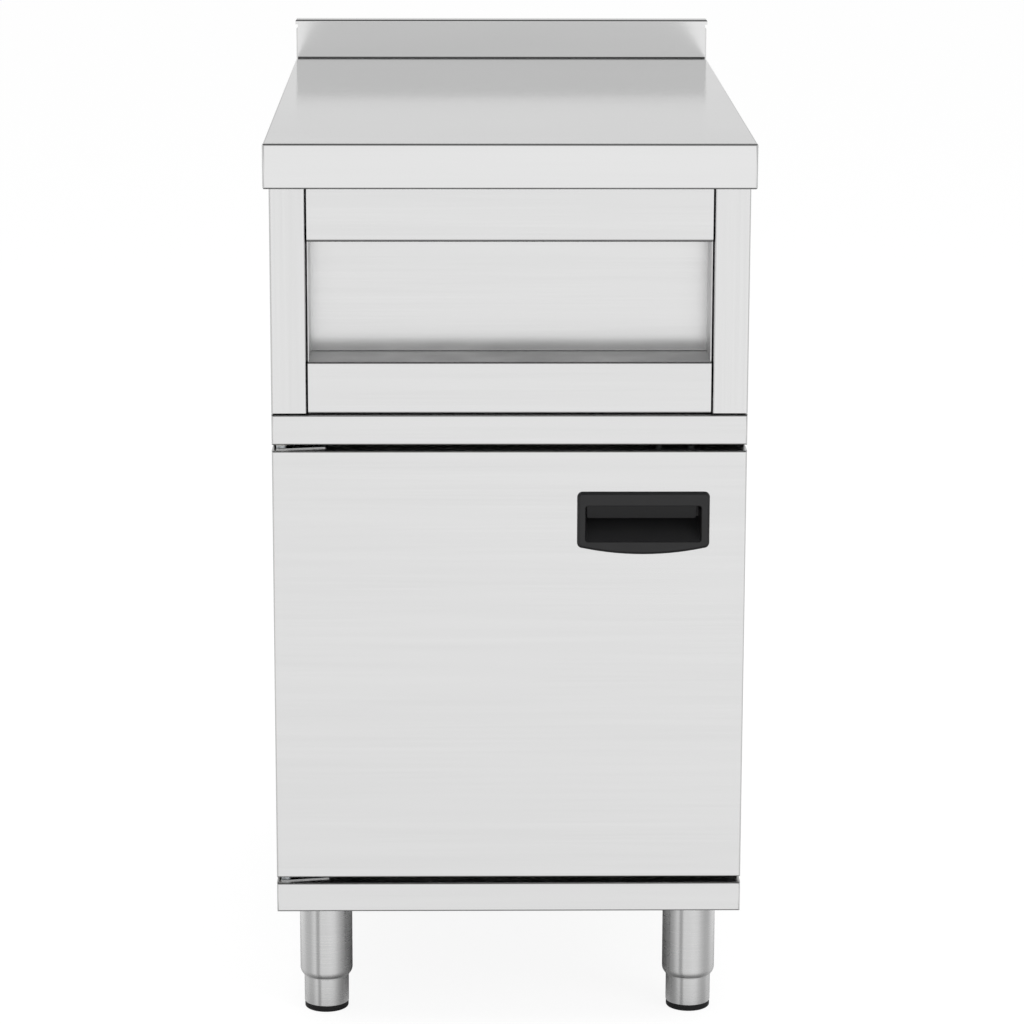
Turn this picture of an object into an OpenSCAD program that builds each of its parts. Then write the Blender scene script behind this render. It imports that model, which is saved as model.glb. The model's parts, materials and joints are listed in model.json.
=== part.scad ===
// Neutral work module for a commercial kitchen: a folded worktop unit on a base cabinet with
// one hinged door and four levelling legs. The origin is on the floor under the middle of the
// unit, +Z is up, the front faces -Y, and all sizes are in millimetres.

/* [Overall] */
// Width over the worktop
unit_w = 450; // [400:1:600]
// Depth from the fascia to the back
unit_d = 750; // [650:1:850]
// Height of the working surface above the floor
worktop_h = 858; // [830:1:900]
// Height of the top unit, from its underside to the working surface
top_unit_h = 250.5; // [240:0.5:280]
// Height of the base cabinet's underside above the floor
leg_h = 125; // [120:1:150]

/* [Sheet steel] */
// Thickness of the body's folded sheet
sheet_t = 1; // [0.8:0.1:1.5]
// Thickness of the worktop's sheet
top_t = 1.5; // [1:0.1:2]
// Inside radius of a press-brake bend
bend_in = 1; // [0.5:0.1:1.5]
// Width of the stiffening flanges inside the body
flange_w = 25; // [20:1:30]
// Width of the flanges that the back panels are riveted to
rear_flange_w = 20; // [15:1:25]

/* [Worktop] */
// Height of the fascia and of the side and rear skirts
fascia_h = 42; // [35:1:50]
// How far the fascia stands in front of the body
front_overhang = 8; // [5:0.5:12]
// How far each side skirt stands outside the body
side_overhang = 5.25; // [4:0.25:10]
// How far the rear skirt stands behind the body
rear_overhang = 5; // [4:0.5:12]
// Slack between the hem of the skirts and the body
hem_slack = 1; // [0.5:0.1:2]
// Height of the upstand above the working surface
upstand_h = 42; // [30:1:60]
// Depth of the upstand from front to back
upstand_t = 18; // [12:1:30]
// Height of the lip's folded ends
lip_end_h = 5.5; // [4:0.5:8]
// Open notch between the lip's ends and the end plates
end_notch_h = 5; // [2:0.5:8]
// Radius at the foot of the upstand
foot_fillet = 2; // [1:0.5:5]
// Distance between the two stiffeners under the top
stiffener_pitch = 150; // [120:1:220]
// Width of a stiffener's web
stiffener_w = 50; // [30:1:70]
// Height of a stiffener
stiffener_h = 20; // [12:1:30]
// Width of a stiffener's lips
stiffener_lip = 15; // [10:1:20]

/* [Front of the top unit] */
// Width of a post's front face
post_w = 32.75; // [28:0.25:40]
// Gap between a post and the front panel
panel_gap = 1.5; // [1:0.1:3]
// Height of the strip above the recess, below the fascia
upper_strip_h = 49.5; // [35:0.5:60]
// Height of the strip below the recess
lower_strip_h = 48; // [35:0.5:60]
// Depth of the recess
recess_d = 58; // [40:1:70]
// Outside radius of the bend above the recess
nose_r = 3.5; // [3:0.1:5]

/* [Base cabinet] */
// Height of the rail above the door
top_rail_h = 28.5; // [25:0.5:40]
// Height of the rail below the door
base_rail_h = 28.5; // [25:0.5:40]
// How far the top rail reaches back between the sides
rail_seat = 16; // [12:1:25]
// Depth of the floor pan's folded edges
pan_fold_h = 20; // [15:1:22]
// Depth of the channel at the top of the back
rear_rail_d = 30; // [20:1:40]
// Width of the flange under each side
bottom_flange_w = 10; // [6:1:10]
// Relief above and below the front flange of each side
flange_relief = 14; // [10:1:20]
// Distance of the joining bolts from the body's front and back
join_in = 115; // [80:1:150]
// Gap between the base and the top unit, held open by washers
join_gap = 1.5; // [1:0.1:2]
// Diameter of those washers
join_washer_d = 20; // [14:1:22]

/* [Door] */
// Thickness of the door
door_t = 25; // [22:0.5:30]
// Gap above and below the door
door_gap = 5.5; // [5.5:0.5:9]
// Space between the door's back and the frame
door_clear = 4; // [3.5:0.1:6]
// Depth of the inner skin's folded edge
inner_lip = 6; // [4:0.5:6]
// Width of the stiffener inside the door
door_rib_w = 40; // [30:1:60]
// Distance of that stiffener from the door's top and bottom
door_rib_end = 40; // [30:1:80]

/* [Hinge] */
// Distance of the pivot from the door's left edge
pivot_in = 9; // [8:0.5:12]
// Distance of the pivot behind the door's face
pivot_back = 12.5; // [11:0.5:13]
// Diameter of the hinge pins
pin_d = 6; // [5:0.5:8]
// Radial clearance of a pin in its bush
pin_clear = 0.08; // [0.03:0.01:0.1]
// Thickness of the hinge plates
hinge_plate_t = 1; // [1:0.1:2.5]
// Length of the hinge plates
hinge_plate_l = 47; // [40:1:60]
// Setback of a plate's front edge at the pivot end
hinge_nose_in = 5.5; // [4:0.5:6]
// How far the plate's front edge runs back over its length
hinge_taper = 8.5; // [4:0.5:9]
// Setback of a plate's rear edge
hinge_rear_in = 22; // [20:0.5:24]
// Thickness of a bush's flange
bush_flange_t = 1.5; // [1:0.1:2]
// Wall of a bush's barrel
bush_wall = 2; // [1.5:0.1:2.5]
// Thickness of the reinforcements inside the door
reinforce_t = 3; // [2:0.5:4]

/* [Handle] */
// Width of the handle's bezel
handle_w = 123; // [110:1:140]
// Height of the bezel at its sides
handle_side_h = 52.5; // [48:0.5:60]
// How far the bezel's lower edge bows below its sides
handle_bow = 7; // [4:0.5:10]
// Radius of the bezel's corners
handle_r = 5; // [3:0.5:8]
// Height of the bezel above the door's face
bezel_h = 3; // [2:0.5:4]
// Distance from the bezel to the door's free edge
handle_edge = 34; // [30:1:60]
// Distance from the bezel to the door's top edge
handle_drop = 38.5; // [35:0.5:60]
// Width of the finger pocket
pocket_w = 107.5; // [90:0.5:108]
// Height of the finger pocket
pocket_h = 33.5; // [30:0.5:36]
// Distance from the bezel's top edge to the pocket
pocket_drop = 13.5; // [12:0.5:16]
// Depth of the finger pocket behind the door's face
pocket_d = 17; // [14:0.5:17]
// Height that the pocket's sloping back rises to
pocket_rise = 20; // [12:1:22]
// Wall of the moulding
mould_t = 2; // [1.5:0.1:2.5]
// Height of the grip lip
grip_h = 12.5; // [10:0.5:14]
// How far the grip lip slopes inwards
grip_slope = 4.5; // [3:0.5:6]
// Gap between the pocket's left wall and the grip lip
grip_gap_left = 1; // [0.5:0.5:4]
// Gap between the pocket's right wall and the grip lip
grip_gap_right = 4.5; // [1:0.5:8]

/* [Magnet catch] */
// Width of the catch
catch_w = 46; // [40:1:60]
// Height of the catch
catch_h = 16; // [14:1:20]
// Distance from the catch to the body's right side
catch_edge = 42; // [36:1:80]
// Distance of the catch below the door's top edge
catch_drop = 2; // [1:0.5:4]
// Air gap between the catch and its keeper
catch_air = 0.3; // [0.2:0.1:0.6]
// Thickness of the keeper plate
keeper_t = 1; // [0.8:0.1:1.5]

/* [Legs] */
// Distance of a leg's axis from the body's side
leg_side_in = 43.25; // [43:0.25:60]
// Distance of the front legs' axes behind the body's front
leg_front_in = 85; // [75:1:120]
// Distance of the rear legs' axes from the body's back
leg_rear_in = 60; // [45:1:120]
// Diameter of the leg sleeves
sleeve_d = 50.8; // [48:0.1:54]
// Wall of the leg sleeves
sleeve_wall = 1.5; // [1.2:0.1:2]
// Height of the sleeve's lower end above the floor
sleeve_z = 33; // [30:1:40]
// Height of the sleeve's swaged curve
swage_h = 7; // [6:0.5:12]
// Height of the sleeve's lip on the foot tube
sleeve_lip_h = 1; // [0.5:0.5:4]
// Wall of that lip
sleeve_lip_wall = 0.5; // [0.4:0.1:1.2]
// Diameter of the foot tubes
foot_d = 43.2; // [40:0.1:44]
// Wall of the foot tubes
foot_wall = 1.5; // [1.2:0.1:2]
// Running clearance of a foot in its sleeve
foot_clear = 0.08; // [0.04:0.01:0.1]
// Length of a foot tube above its pad
foot_tube_l = 60; // [56:1:60]
// Height of the rubber pad
pad_h = 6; // [5:0.5:8]
// Diameter of the threaded stem
stem_d = 16; // [12:1:20]
// Height of the stem's top above the floor
stem_top = 110; // [108:1:114]
// Height of the threaded disc's underside above the floor
disc_z = 86; // [86:1:90]
// Thickness of the threaded disc
disc_t = 8; // [6:1:8]
// Side of the square leg plates
leg_plate_w = 70; // [66:1:76]
// Thickness of the leg plates
leg_plate_t = 4; // [3:0.5:5]
// Distance between the leg plate's bolts
leg_bolt_pitch = 48; // [46:1:48]
// Width of the leg bearers
bearer_w = 66; // [64:1:67]
// Thickness of the leg bearers
bearer_t = 2; // [1.5:0.1:2.5]
// Width of the leg bearers' lips
bearer_lip = 12; // [8:1:15]

/* [Fasteners] */
// Diameter of the bolts
bolt_d = 6; // [5:0.5:6]
// Size of the bolts' heads over the flats
bolt_flats = 10; // [9:0.5:10]
// Height of the bolts' heads
bolt_head_h = 4; // [3:0.5:5]
// Height of the nuts
nut_h = 5; // [4:0.5:6]
// Diameter of the small screws
screw_d = 4; // [3:0.5:4]
// Diameter of the small screws' heads
screw_head_d = 7; // [6:0.5:8]
// Height of the small screws' heads
screw_head_h = 2; // [1.5:0.1:2.2]
// Diameter of the rivets
rivet_d = 3.2; // [3:0.1:4]
// Height of the rivets' heads
rivet_head_h = 1.2; // [0.8:0.1:1.5]
// Rivets up each side of the top unit's back
top_rivets = 3; // [2:1:5]
// Rivets up each side of the base's back
base_rivets = 5; // [3:1:8]

/* [Hidden] */

// Facets of a true circle
$fn = 48;
// Steps of a bend's curve
bend_steps = 5;
// Clearance of a fixed shaft, screw or rivet in its hole
snug = 0.03;
// Extra length of a cutting body past the face that it cuts
past = 1;

sheet_colour = "#d6d8d9";
inner_colour = "#c3c6c8";
zinc_colour = "#a9adb0";
black_colour = "#232526";
nylon_colour = "#e9e7e0";
rubber_colour = "#18191a";

sheet_r = sheet_t + bend_in;
top_r = top_t + bend_in;

front_y = -unit_d / 2;
back_y = unit_d / 2;
body_x = unit_w / 2 - side_overhang;
body_front = front_y + front_overhang;
body_back = back_y - rear_overhang;
inner_x = body_x - sheet_t;

fascia_z = worktop_h - fascia_h;
under_top = worktop_h - top_t;
total_h = worktop_h + upstand_h;
upstand_y = back_y - upstand_t;
upstand_end_x = unit_w / 2 - top_r;
lip_z = total_h - lip_end_h;

top_base = worktop_h - top_unit_h;
base_top = top_base - join_gap;
post_x = body_x - post_w;
panel_x = post_x - panel_gap;
strip_z = fascia_z - upper_strip_h;
ledge_z = top_base + lower_strip_h;
recess_y = body_front + recess_d;

// Back panels lie inside the rear flanges, clear of the bends' inside curve
back_x = inner_x - bend_in;
back_in_y = body_back - 2 * sheet_t;
rivet_x = body_x - rear_flange_w / 2;

rail_z = base_top - top_rail_h;
floor_z = leg_h + base_rail_h;
frame_y = body_front + door_t + door_clear;
rail_back = frame_y + rail_seat;

door_z0 = floor_z + door_gap;
door_z1 = rail_z - door_gap;
door_back = body_front + door_t;
pivot_x = -body_x + pivot_in;
pivot_y = body_front + pivot_back;
pin_r = pin_d / 2;
bush_r = pin_r + bush_wall;
bush_flange_r = bush_r + 2;
// Axial play between a pin's collar and the bush's flange
pin_play = 0.1;

handle_x = body_x - handle_edge - handle_w / 2;
handle_z1 = door_z1 - handle_drop;
handle_side_z = handle_z1 - handle_side_h;
pocket_z1 = handle_z1 - pocket_drop;
pocket_z0 = pocket_z1 - pocket_h;
pocket_y = body_front + pocket_d;

catch_x1 = body_x - catch_edge;
catch_x0 = catch_x1 - catch_w;
catch_y = door_back + keeper_t + catch_air;
catch_z1 = door_z1 - catch_drop;
catch_z0 = catch_z1 - catch_h;
bracket_t = 1.5;
bracket_y = rail_back - 2;

leg_x = body_x - leg_side_in;
leg_front_y = body_front + leg_front_in;
leg_rear_y = body_back - leg_rear_in;
leg_spots = [[-leg_x, leg_front_y], [leg_x, leg_front_y], [-leg_x, leg_rear_y], [leg_x, leg_rear_y]];
sleeve_top = leg_h - leg_plate_t;

// Plane geometry

function unit_of(v) = v / norm(v);
function left_of(d) = [-d.y, d.x];
function turn_of(a, b) = atan2(a.x * b.y - a.y * b.x, a * b);
function turned(d, angle) = [d.x * cos(angle) - d.y * sin(angle), d.x * sin(angle) + d.y * cos(angle)];
function reversed(v) = [for (i = [len(v) - 1 : -1 : 0]) v[i]];
function arc_pts(c, r, a, b) = [for (k = [0 : bend_steps])
    c + r * [cos(a + (b - a) * k / bend_steps), sin(a + (b - a) * k / bend_steps)]];

// One face of a folded sheet. The path is the outer face line with the sheet on its left,
// depth is how far the face lies into the sheet, and r is the outside radius of each bend
function fold_face(path, r, t, depth) = [
    for (i = [0 : len(path) - 1])
        let (last = len(path) - 1,
             a = unit_of(i > 0 ? path[i] - path[i - 1] : path[1] - path[0]),
             b = unit_of(i < last ? path[i + 1] - path[i] : path[i] - path[i - 1]),
             angle = turn_of(a, b),
             s = sign(round(angle)),
             outer = is_list(r) ? r[i] : r,
             face_r = s > 0 ? outer : outer - t,
             centre = path[i] - face_r * tan(abs(angle) / 2) * a + s * face_r * left_of(a))
        each s == 0 ? [path[i] + depth * left_of(a)]
            : [for (k = [0 : bend_steps])
                   centre + (depth - s * face_r) * left_of(turned(a, angle * k / bend_steps))]
];

// Outline of a rectangle with corner radii [low low, high low, high high, low high]
function rect_pts(lo, hi, r) = concat(
    r[0] > 0 ? arc_pts([lo.x + r[0], lo.y + r[0]], r[0], 180, 270) : [lo],
    r[1] > 0 ? arc_pts([hi.x - r[1], lo.y + r[1]], r[1], 270, 360) : [[hi.x, lo.y]],
    r[2] > 0 ? arc_pts([hi.x - r[2], hi.y - r[2]], r[2], 0, 90) : [hi],
    r[3] > 0 ? arc_pts([lo.x + r[3], hi.y - r[3]], r[3], 90, 180) : [[lo.x, hi.y]]);

// Solid helpers

// Extrude a (y, z) outline from x0 to x1
module along_x(x0, x1) { translate([x0, 0, 0]) rotate([90, 0, 90]) linear_extrude(x1 - x0) children(); }

// Extrude an (x, z) outline from y0 to y1
module along_y(y0, y1) { translate([0, y1, 0]) rotate([90, 0, 0]) linear_extrude(y1 - y0) children(); }

// Extrude an (x, y) outline from z0 to z1
module along_z(z0, z1) { translate([0, 0, z0]) linear_extrude(z1 - z0) children(); }

// Box between two corners
module box(lo, hi) { translate(lo) cube(hi - lo); }

// Section of a folded sheet
module fold(path, t, r) { polygon(concat(fold_face(path, r, t, 0), reversed(fold_face(path, r, t, t)))); }

// Block with all twelve edges rounded
module rounded_block(lo, hi, r) {
    intersection() {
        along_x(lo.x, hi.x) polygon(rect_pts([lo.y, lo.z], [hi.y, hi.z], [r, r, r, r]));
        along_y(lo.y, hi.y) polygon(rect_pts([lo.x, lo.z], [hi.x, hi.z], [r, r, r, r]));
        along_z(lo.z, hi.z) polygon(rect_pts([lo.x, lo.y], [hi.x, hi.y], [r, r, r, r]));
    }
}

// Block whose four edges round its low-y face are rounded
module front_block(lo, hi, r) {
    intersection() {
        along_x(lo.x, hi.x) polygon(rect_pts([lo.y, lo.z], [hi.y, hi.z], [r, 0, 0, r]));
        along_z(lo.z, hi.z) polygon(rect_pts([lo.x, lo.y], [hi.x, hi.y], [r, r, 0, 0]));
    }
}

// Folded tray that is open towards +y
module front_tray(lo, hi, t, r) {
    difference() {
        front_block(lo, hi, r);
        front_block(lo + [t, t, t], [hi.x - t, hi.y + past, hi.z - t], r - t);
    }
}

// Upright cylinder between two heights
module post(x, y, z0, z1, r) { translate([x, y, z0]) cylinder(h = z1 - z0, r = r); }

// Hexagon prism with the given size over its flats
module hex(x, y, z0, z1, flats) {
    translate([x, y, z0]) cylinder(h = z1 - z0, r = flats / 2 / cos(30), $fn = 6);
}

// Cylinder along y
module rod_y(x, z, y0, y1, r) { translate([x, y1, z]) rotate([90, 0, 0]) cylinder(h = y1 - y0, r = r); }

// Mirror image across the unit's middle plane
module other_side() { mirror([1, 0, 0]) children(); }

// Places that holes and fasteners share

join_x = body_x - flange_w / 2;
join_spots = [for (x = [-join_x, join_x], y = [body_front + join_in, body_back - join_in]) [x, y]];
rivet_margin = 25;
function rivet_heights(lo, hi, n) =
    [for (i = [0 : n - 1]) lo + rivet_margin + (hi - lo - 2 * rivet_margin) * i / (n - 1)];
top_rivet_zs = rivet_heights(top_base, under_top, top_rivets);
base_rivet_zs = rivet_heights(floor_z, rail_z, base_rivets);
hinge_screw_in = [23, 41];
hinge_screw_y = body_front + hinge_rear_in - screw_head_d / 2 - 2;
function hinge_screw_x(i) = -body_x + hinge_screw_in[i] * hinge_plate_l / 47;
catch_screw_xs = [catch_x0 + 8, catch_x1 - 8];
catch_screw_y = (catch_y + bracket_y) / 2;
handle_screw_spots = [
    [handle_x - handle_w / 3, handle_z1 - pocket_drop / 2 + 1],
    [handle_x + handle_w / 3, handle_z1 - pocket_drop / 2 + 1],
    [handle_x, (handle_side_z - handle_bow + pocket_z0 - mould_t) / 2]];
handle_screw_r = 1.5;

// Holes in a sheet for the rivets of a back panel
module rivet_holes(zs) {
    for (x = [-rivet_x, rivet_x], z = zs)
        rod_y(x, z, back_in_y - past, body_back + past, rivet_d / 2 + snug);
}

// Blind rivets through the rear flanges and a back panel
module rivets(zs) {
    for (x = [-rivet_x, rivet_x], z = zs) union() {
        rod_y(x, z, body_back, body_back + rivet_head_h, rivet_d);
        rod_y(x, z, back_in_y - rivet_head_h, body_back, rivet_d / 2);
        rod_y(x, z, back_in_y - 2 * rivet_head_h, back_in_y, rivet_d * 0.75);
    }
}

// Worktop

// Slab of the worktop, drawn in by the given amount
module slab(inset) {
    half = unit_w / 2 - inset;
    rounded_block([-half, front_y + inset, fascia_z + inset],
                  [half, back_y - inset, worktop_h - inset], top_r - inset);
}

// Section of the upstand with the given wall left off
module upstand_section(inset, z0) {
    r = top_r - inset;
    polygon(rect_pts([upstand_y + inset, z0], [back_y - inset, total_h - inset], [0, 0, r, r]));
}

// Lip along the top of the upstand, with its folded ends
module lip(inset, z0) {
    half = unit_w / 2 - inset;
    r = top_r - inset;
    intersection() {
        along_x(-half, half) upstand_section(inset, z0);
        along_y(upstand_y, back_y) polygon(rect_pts([-half, z0], [half, total_h - inset], [0, 0, r, r]));
    }
}

// Concave curve between the working surface and the upstand
module upstand_fillet() {
    centre = [upstand_y - foot_fillet, worktop_h + foot_fillet];
    low = worktop_h - top_t / 2;
    deep = upstand_y + top_t / 2;
    along_x(-upstand_end_x, upstand_end_x)
        polygon(concat(arc_pts(centre, foot_fillet, -90, 0),
                       [[deep, centre.y], [deep, low], [centre.x, low]]));
}

// Folded worktop with fascia, skirts, upstand and lip
module worktop() {
    color(sheet_colour)
        difference() {
            union() {
                slab(0);
                along_x(-upstand_end_x, upstand_end_x) upstand_section(0, worktop_h - top_r);
                lip(0, lip_z);
                upstand_fillet();
            }
            slab(top_t);
            along_x(-upstand_end_x, upstand_end_x) upstand_section(top_t, worktop_h - top_r - past);
            lip(top_t, lip_z - past);
            box([-body_x - hem_slack, body_front - hem_slack, fascia_z - past],
                [body_x + hem_slack, body_back + hem_slack, fascia_z + top_r + past]);
        }
}

// Plates that close the ends of the upstand
module upstand_end_plates() {
    module plate() {
        box([upstand_end_x, upstand_y, worktop_h],
            [upstand_end_x + top_t, back_y, lip_z - end_notch_h]);
    }
    color(sheet_colour) {
        plate();
        other_side() plate();
    }
}

// Hat channels under the working surface
module worktop_stiffeners() {
    w = stiffener_w / 2;
    web = under_top - stiffener_h + sheet_t;
    module hat() {
        along_y(body_front + flange_w + past, back_in_y - past)
            translate([stiffener_pitch / 2, 0])
                fold([[w + stiffener_lip, under_top], [w, under_top], [w, web],
                      [-w, web], [-w, under_top], [-w - stiffener_lip, under_top]], sheet_t, sheet_r);
    }
    color(zinc_colour) {
        hat();
        other_side() hat();
    }
}

// Body of the top unit

// Left side of the top unit with its front post
module top_side_left() {
    color(sheet_colour)
        difference() {
            union() {
                along_z(top_base, under_top)
                    fold([[-body_x + rear_flange_w, body_back], [-body_x, body_back],
                          [-body_x, body_front], [-post_x, body_front],
                          [-post_x, body_front + flange_w]], sheet_t, sheet_r);
                for (z = [top_base, under_top - sheet_t])
                    box([-body_x + sheet_t / 2, body_front + flange_w, z],
                        [-body_x + flange_w, back_in_y, z + sheet_t]);
            }
            for (p = join_spots)
                post(p.x, p.y, top_base - past, top_base + sheet_t + past, bolt_d / 2 + snug);
            rivet_holes(top_rivet_zs);
        }
}

module top_side_right() { other_side() top_side_left(); }

// Bent front panel: upper strip, recess, ledge and lower strip
module front_panel() {
    path = [[body_front + flange_w, under_top], [body_front, under_top], [body_front, strip_z],
            [recess_y, strip_z], [recess_y, ledge_z], [body_front, ledge_z],
            [body_front, top_base], [body_front + flange_w, top_base]];
    radii = [sheet_r, sheet_r, nose_r, sheet_r, sheet_r, sheet_r, sheet_r, sheet_r];
    color(sheet_colour) along_x(-panel_x, panel_x) fold(path, sheet_t, radii);
}

// Plates that close the ends of the recess
module recess_end_plates() {
    r = bend_in + snug;
    module plate() {
        along_x(panel_x - sheet_t, panel_x)
            polygon(rect_pts([body_front + nose_r, ledge_z], [recess_y, strip_z], [0, r, r, 0]));
    }
    color(sheet_colour) {
        plate();
        other_side() plate();
    }
}

module top_back_panel() {
    color(inner_colour)
        difference() {
            box([-back_x, back_in_y, top_base], [back_x, back_in_y + sheet_t, under_top]);
            rivet_holes(top_rivet_zs);
        }
}

module top_back_rivets() { color(zinc_colour) rivets(top_rivet_zs); }

// Base cabinet

// Folded rail above the door
module base_top_rail() {
    color(sheet_colour)
        difference() {
            union() {
                front_tray([-body_x, body_front, rail_z], [body_x, frame_y, base_top], sheet_t, sheet_r);
                for (z = [rail_z, base_top - sheet_t])
                    box([-inner_x, frame_y - sheet_r, z], [inner_x, rail_back, z + sheet_t]);
            }
            post(pivot_x, pivot_y, rail_z - past, rail_z + sheet_t + past, bush_r + snug);
            for (x = catch_screw_xs)
                post(x, catch_screw_y, rail_z - past, rail_z + sheet_t + past, screw_d / 2 + snug);
        }
}

// Channel at the top of the base's back
module base_rear_rail() {
    y0 = back_in_y - rear_rail_d;
    z0 = rail_z;
    z1 = base_top - sheet_t;
    color(inner_colour)
        along_x(-inner_x, inner_x)
            fold([[y0, z0], [back_in_y, z0], [back_in_y, z1], [y0, z1]], sheet_t, sheet_r);
}

// Floor pan whose front edge is folded into the rail below the door
module base_floor_pan() {
    fold_z = floor_z - pan_fold_h;
    back = body_back - sheet_t;
    // The rear corners are cut back, clear of the side's bends
    corner_y = back - bend_in;
    color(sheet_colour)
        difference() {
            union() {
                front_tray([-body_x, body_front, leg_h], [body_x, frame_y, floor_z], sheet_t, sheet_r);
                box([-inner_x, frame_y - sheet_r, floor_z - sheet_t], [inner_x, corner_y, floor_z]);
                for (x = [-inner_x, inner_x - sheet_t])
                    box([x, frame_y + past, fold_z], [x + sheet_t, corner_y - past, floor_z]);
                box([-back_x, corner_y - past, floor_z - sheet_t], [back_x, back, floor_z]);
                box([-back_x, back - sheet_t, fold_z], [back_x, back, floor_z]);
            }
            post(pivot_x, pivot_y, floor_z - sheet_t - past, floor_z + past, pin_r + snug);
            for (i = [0, 1])
                post(hinge_screw_x(i), hinge_screw_y, floor_z - sheet_t - past, floor_z + past,
                     screw_d / 2 + snug);
        }
}

// Left side of the base cabinet
module base_side_left() {
    rear = [[-body_x + rear_flange_w, body_back], [-body_x, body_back], [-body_x, frame_y]];
    color(sheet_colour)
        difference() {
            union() {
                along_z(leg_h, floor_z + flange_relief) fold(rear, sheet_t, sheet_r);
                along_z(floor_z + flange_relief, rail_z - flange_relief)
                    fold(concat(rear, [[-body_x + flange_w, frame_y]]), sheet_t, sheet_r);
                along_z(rail_z - flange_relief, base_top) fold(rear, sheet_t, sheet_r);
                box([-body_x + sheet_t / 2, rail_back, base_top - sheet_t],
                    [-body_x + flange_w, back_in_y, base_top]);
                box([-body_x + sheet_t / 2, frame_y + past, leg_h],
                    [-body_x + bottom_flange_w, back_in_y, leg_h + sheet_t]);
            }
            for (p = join_spots)
                post(p.x, p.y, base_top - sheet_t - past, base_top + past, bolt_d / 2 + snug);
            rivet_holes(base_rivet_zs);
        }
}

module base_side_right() { other_side() base_side_left(); }

module base_back_panel() {
    color(inner_colour)
        difference() {
            box([-back_x, back_in_y, floor_z], [back_x, back_in_y + sheet_t, base_top - sheet_t]);
            rivet_holes(base_rivet_zs);
        }
}

module base_back_rivets() { color(zinc_colour) rivets(base_rivet_zs); }

// Bolts that join the top unit to the base
module joining_bolts() {
    z = top_base + sheet_t;
    color(zinc_colour)
        for (p = join_spots) union() {
            hex(p.x, p.y, z, z + bolt_head_h, bolt_flats);
            post(p.x, p.y, base_top - sheet_t - nut_h - 2, z, bolt_d / 2);
        }
}

module joining_nuts() {
    z = base_top - sheet_t;
    color(zinc_colour)
        for (p = join_spots) difference() {
            hex(p.x, p.y, z - nut_h, z, bolt_flats);
            post(p.x, p.y, z - nut_h - past, z + past, bolt_d / 2 + snug);
        }
}

// Washers that hold the top unit clear of the base
module joining_washers() {
    color(zinc_colour)
        for (p = join_spots) difference() {
            post(p.x, p.y, base_top, top_base, join_washer_d / 2);
            post(p.x, p.y, base_top - past, top_base + past, bolt_d / 2 + snug);
        }
}

// Legs

leg_bolt_offsets = [for (x = [-1, 1], y = [-1, 1]) [x, y] * leg_bolt_pitch / 2];
leg_bolt_spots = [for (p = leg_spots, o = leg_bolt_offsets) p + o];

// Holes for a leg's stem and bolts through the metal between two heights
module leg_holes(z0, z1) {
    for (p = leg_spots) post(p.x, p.y, z0 - past, z1 + past, stem_d / 2 + 2);
    for (p = leg_bolt_spots) post(p.x, p.y, z0 - past, z1 + past, bolt_d / 2 + snug);
}

// Channels under the floor that the legs are bolted to
module leg_bearers() {
    w = bearer_w / 2;
    top = floor_z - sheet_t;
    color(zinc_colour)
        difference() {
            for (x = [-leg_x, leg_x])
                along_y(frame_y, back_in_y)
                    translate([x, 0])
                        fold([[-w + bearer_lip, top], [-w, top], [-w, leg_h], [w, leg_h],
                              [w, top], [w - bearer_lip, top]], bearer_t, bearer_t + bend_in);
            leg_holes(leg_h, leg_h + bearer_t);
        }
}

module leg_plates() {
    w = leg_plate_w / 2;
    r = leg_plate_t;
    color(zinc_colour)
        difference() {
            for (p = leg_spots)
                along_z(sleeve_top, leg_h)
                    polygon(rect_pts(p - [w, w], p + [w, w], [r, r, r, r]));
            leg_holes(sleeve_top, leg_h);
        }
}

module leg_plate_bolts() {
    color(zinc_colour)
        for (p = leg_bolt_spots) union() {
            hex(p.x, p.y, sleeve_top - bolt_head_h, sleeve_top, bolt_flats);
            post(p.x, p.y, sleeve_top, leg_h + bearer_t + nut_h + 2, bolt_d / 2);
        }
}

module leg_plate_nuts() {
    z = leg_h + bearer_t;
    color(zinc_colour)
        for (p = leg_bolt_spots) difference() {
            hex(p.x, p.y, z, z + nut_h, bolt_flats);
            post(p.x, p.y, z - past, z + nut_h + past, bolt_d / 2 + snug);
        }
}

// Leg sleeve: a tube whose lower end is swaged in to guide the foot
module leg_sleeve(p) {
    outer = sleeve_d / 2;
    inner = outer - sleeve_wall;
    bore = foot_d / 2 + foot_clear;
    lip_r = bore + sleeve_lip_wall;
    fall = outer - lip_r;
    curve_r = (swage_h * swage_h + fall * fall) / (2 * fall);
    curve_z = sleeve_z + sleeve_lip_h + swage_h;
    reach = asin(swage_h / curve_r);
    curve = [for (k = [0 : bend_steps])
        [outer - curve_r + curve_r * cos(reach * k / bend_steps),
         curve_z - curve_r * sin(reach * k / bend_steps)]];
    color(sheet_colour)
        translate([p.x, p.y, 0])
            rotate_extrude()
                polygon(concat([[inner, sleeve_top], [outer, sleeve_top]], curve,
                               [[lip_r, sleeve_z], [bore, sleeve_z],
                                [bore, sleeve_z + sleeve_lip_h + swage_h / 3], [inner, curve_z]]));
}

module leg_sleeve_front_left() { leg_sleeve(leg_spots[0]); }
module leg_sleeve_front_right() { leg_sleeve(leg_spots[1]); }
module leg_sleeve_rear_left() { leg_sleeve(leg_spots[2]); }
module leg_sleeve_rear_right() { leg_sleeve(leg_spots[3]); }

// Threaded discs in the sleeves
module leg_discs() {
    color(zinc_colour)
        for (p = leg_spots) difference() {
            post(p.x, p.y, disc_z, disc_z + disc_t, sleeve_d / 2 - sleeve_wall - snug);
            post(p.x, p.y, disc_z - past, disc_z + disc_t + past, stem_d / 2 + foot_clear);
        }
}

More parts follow.
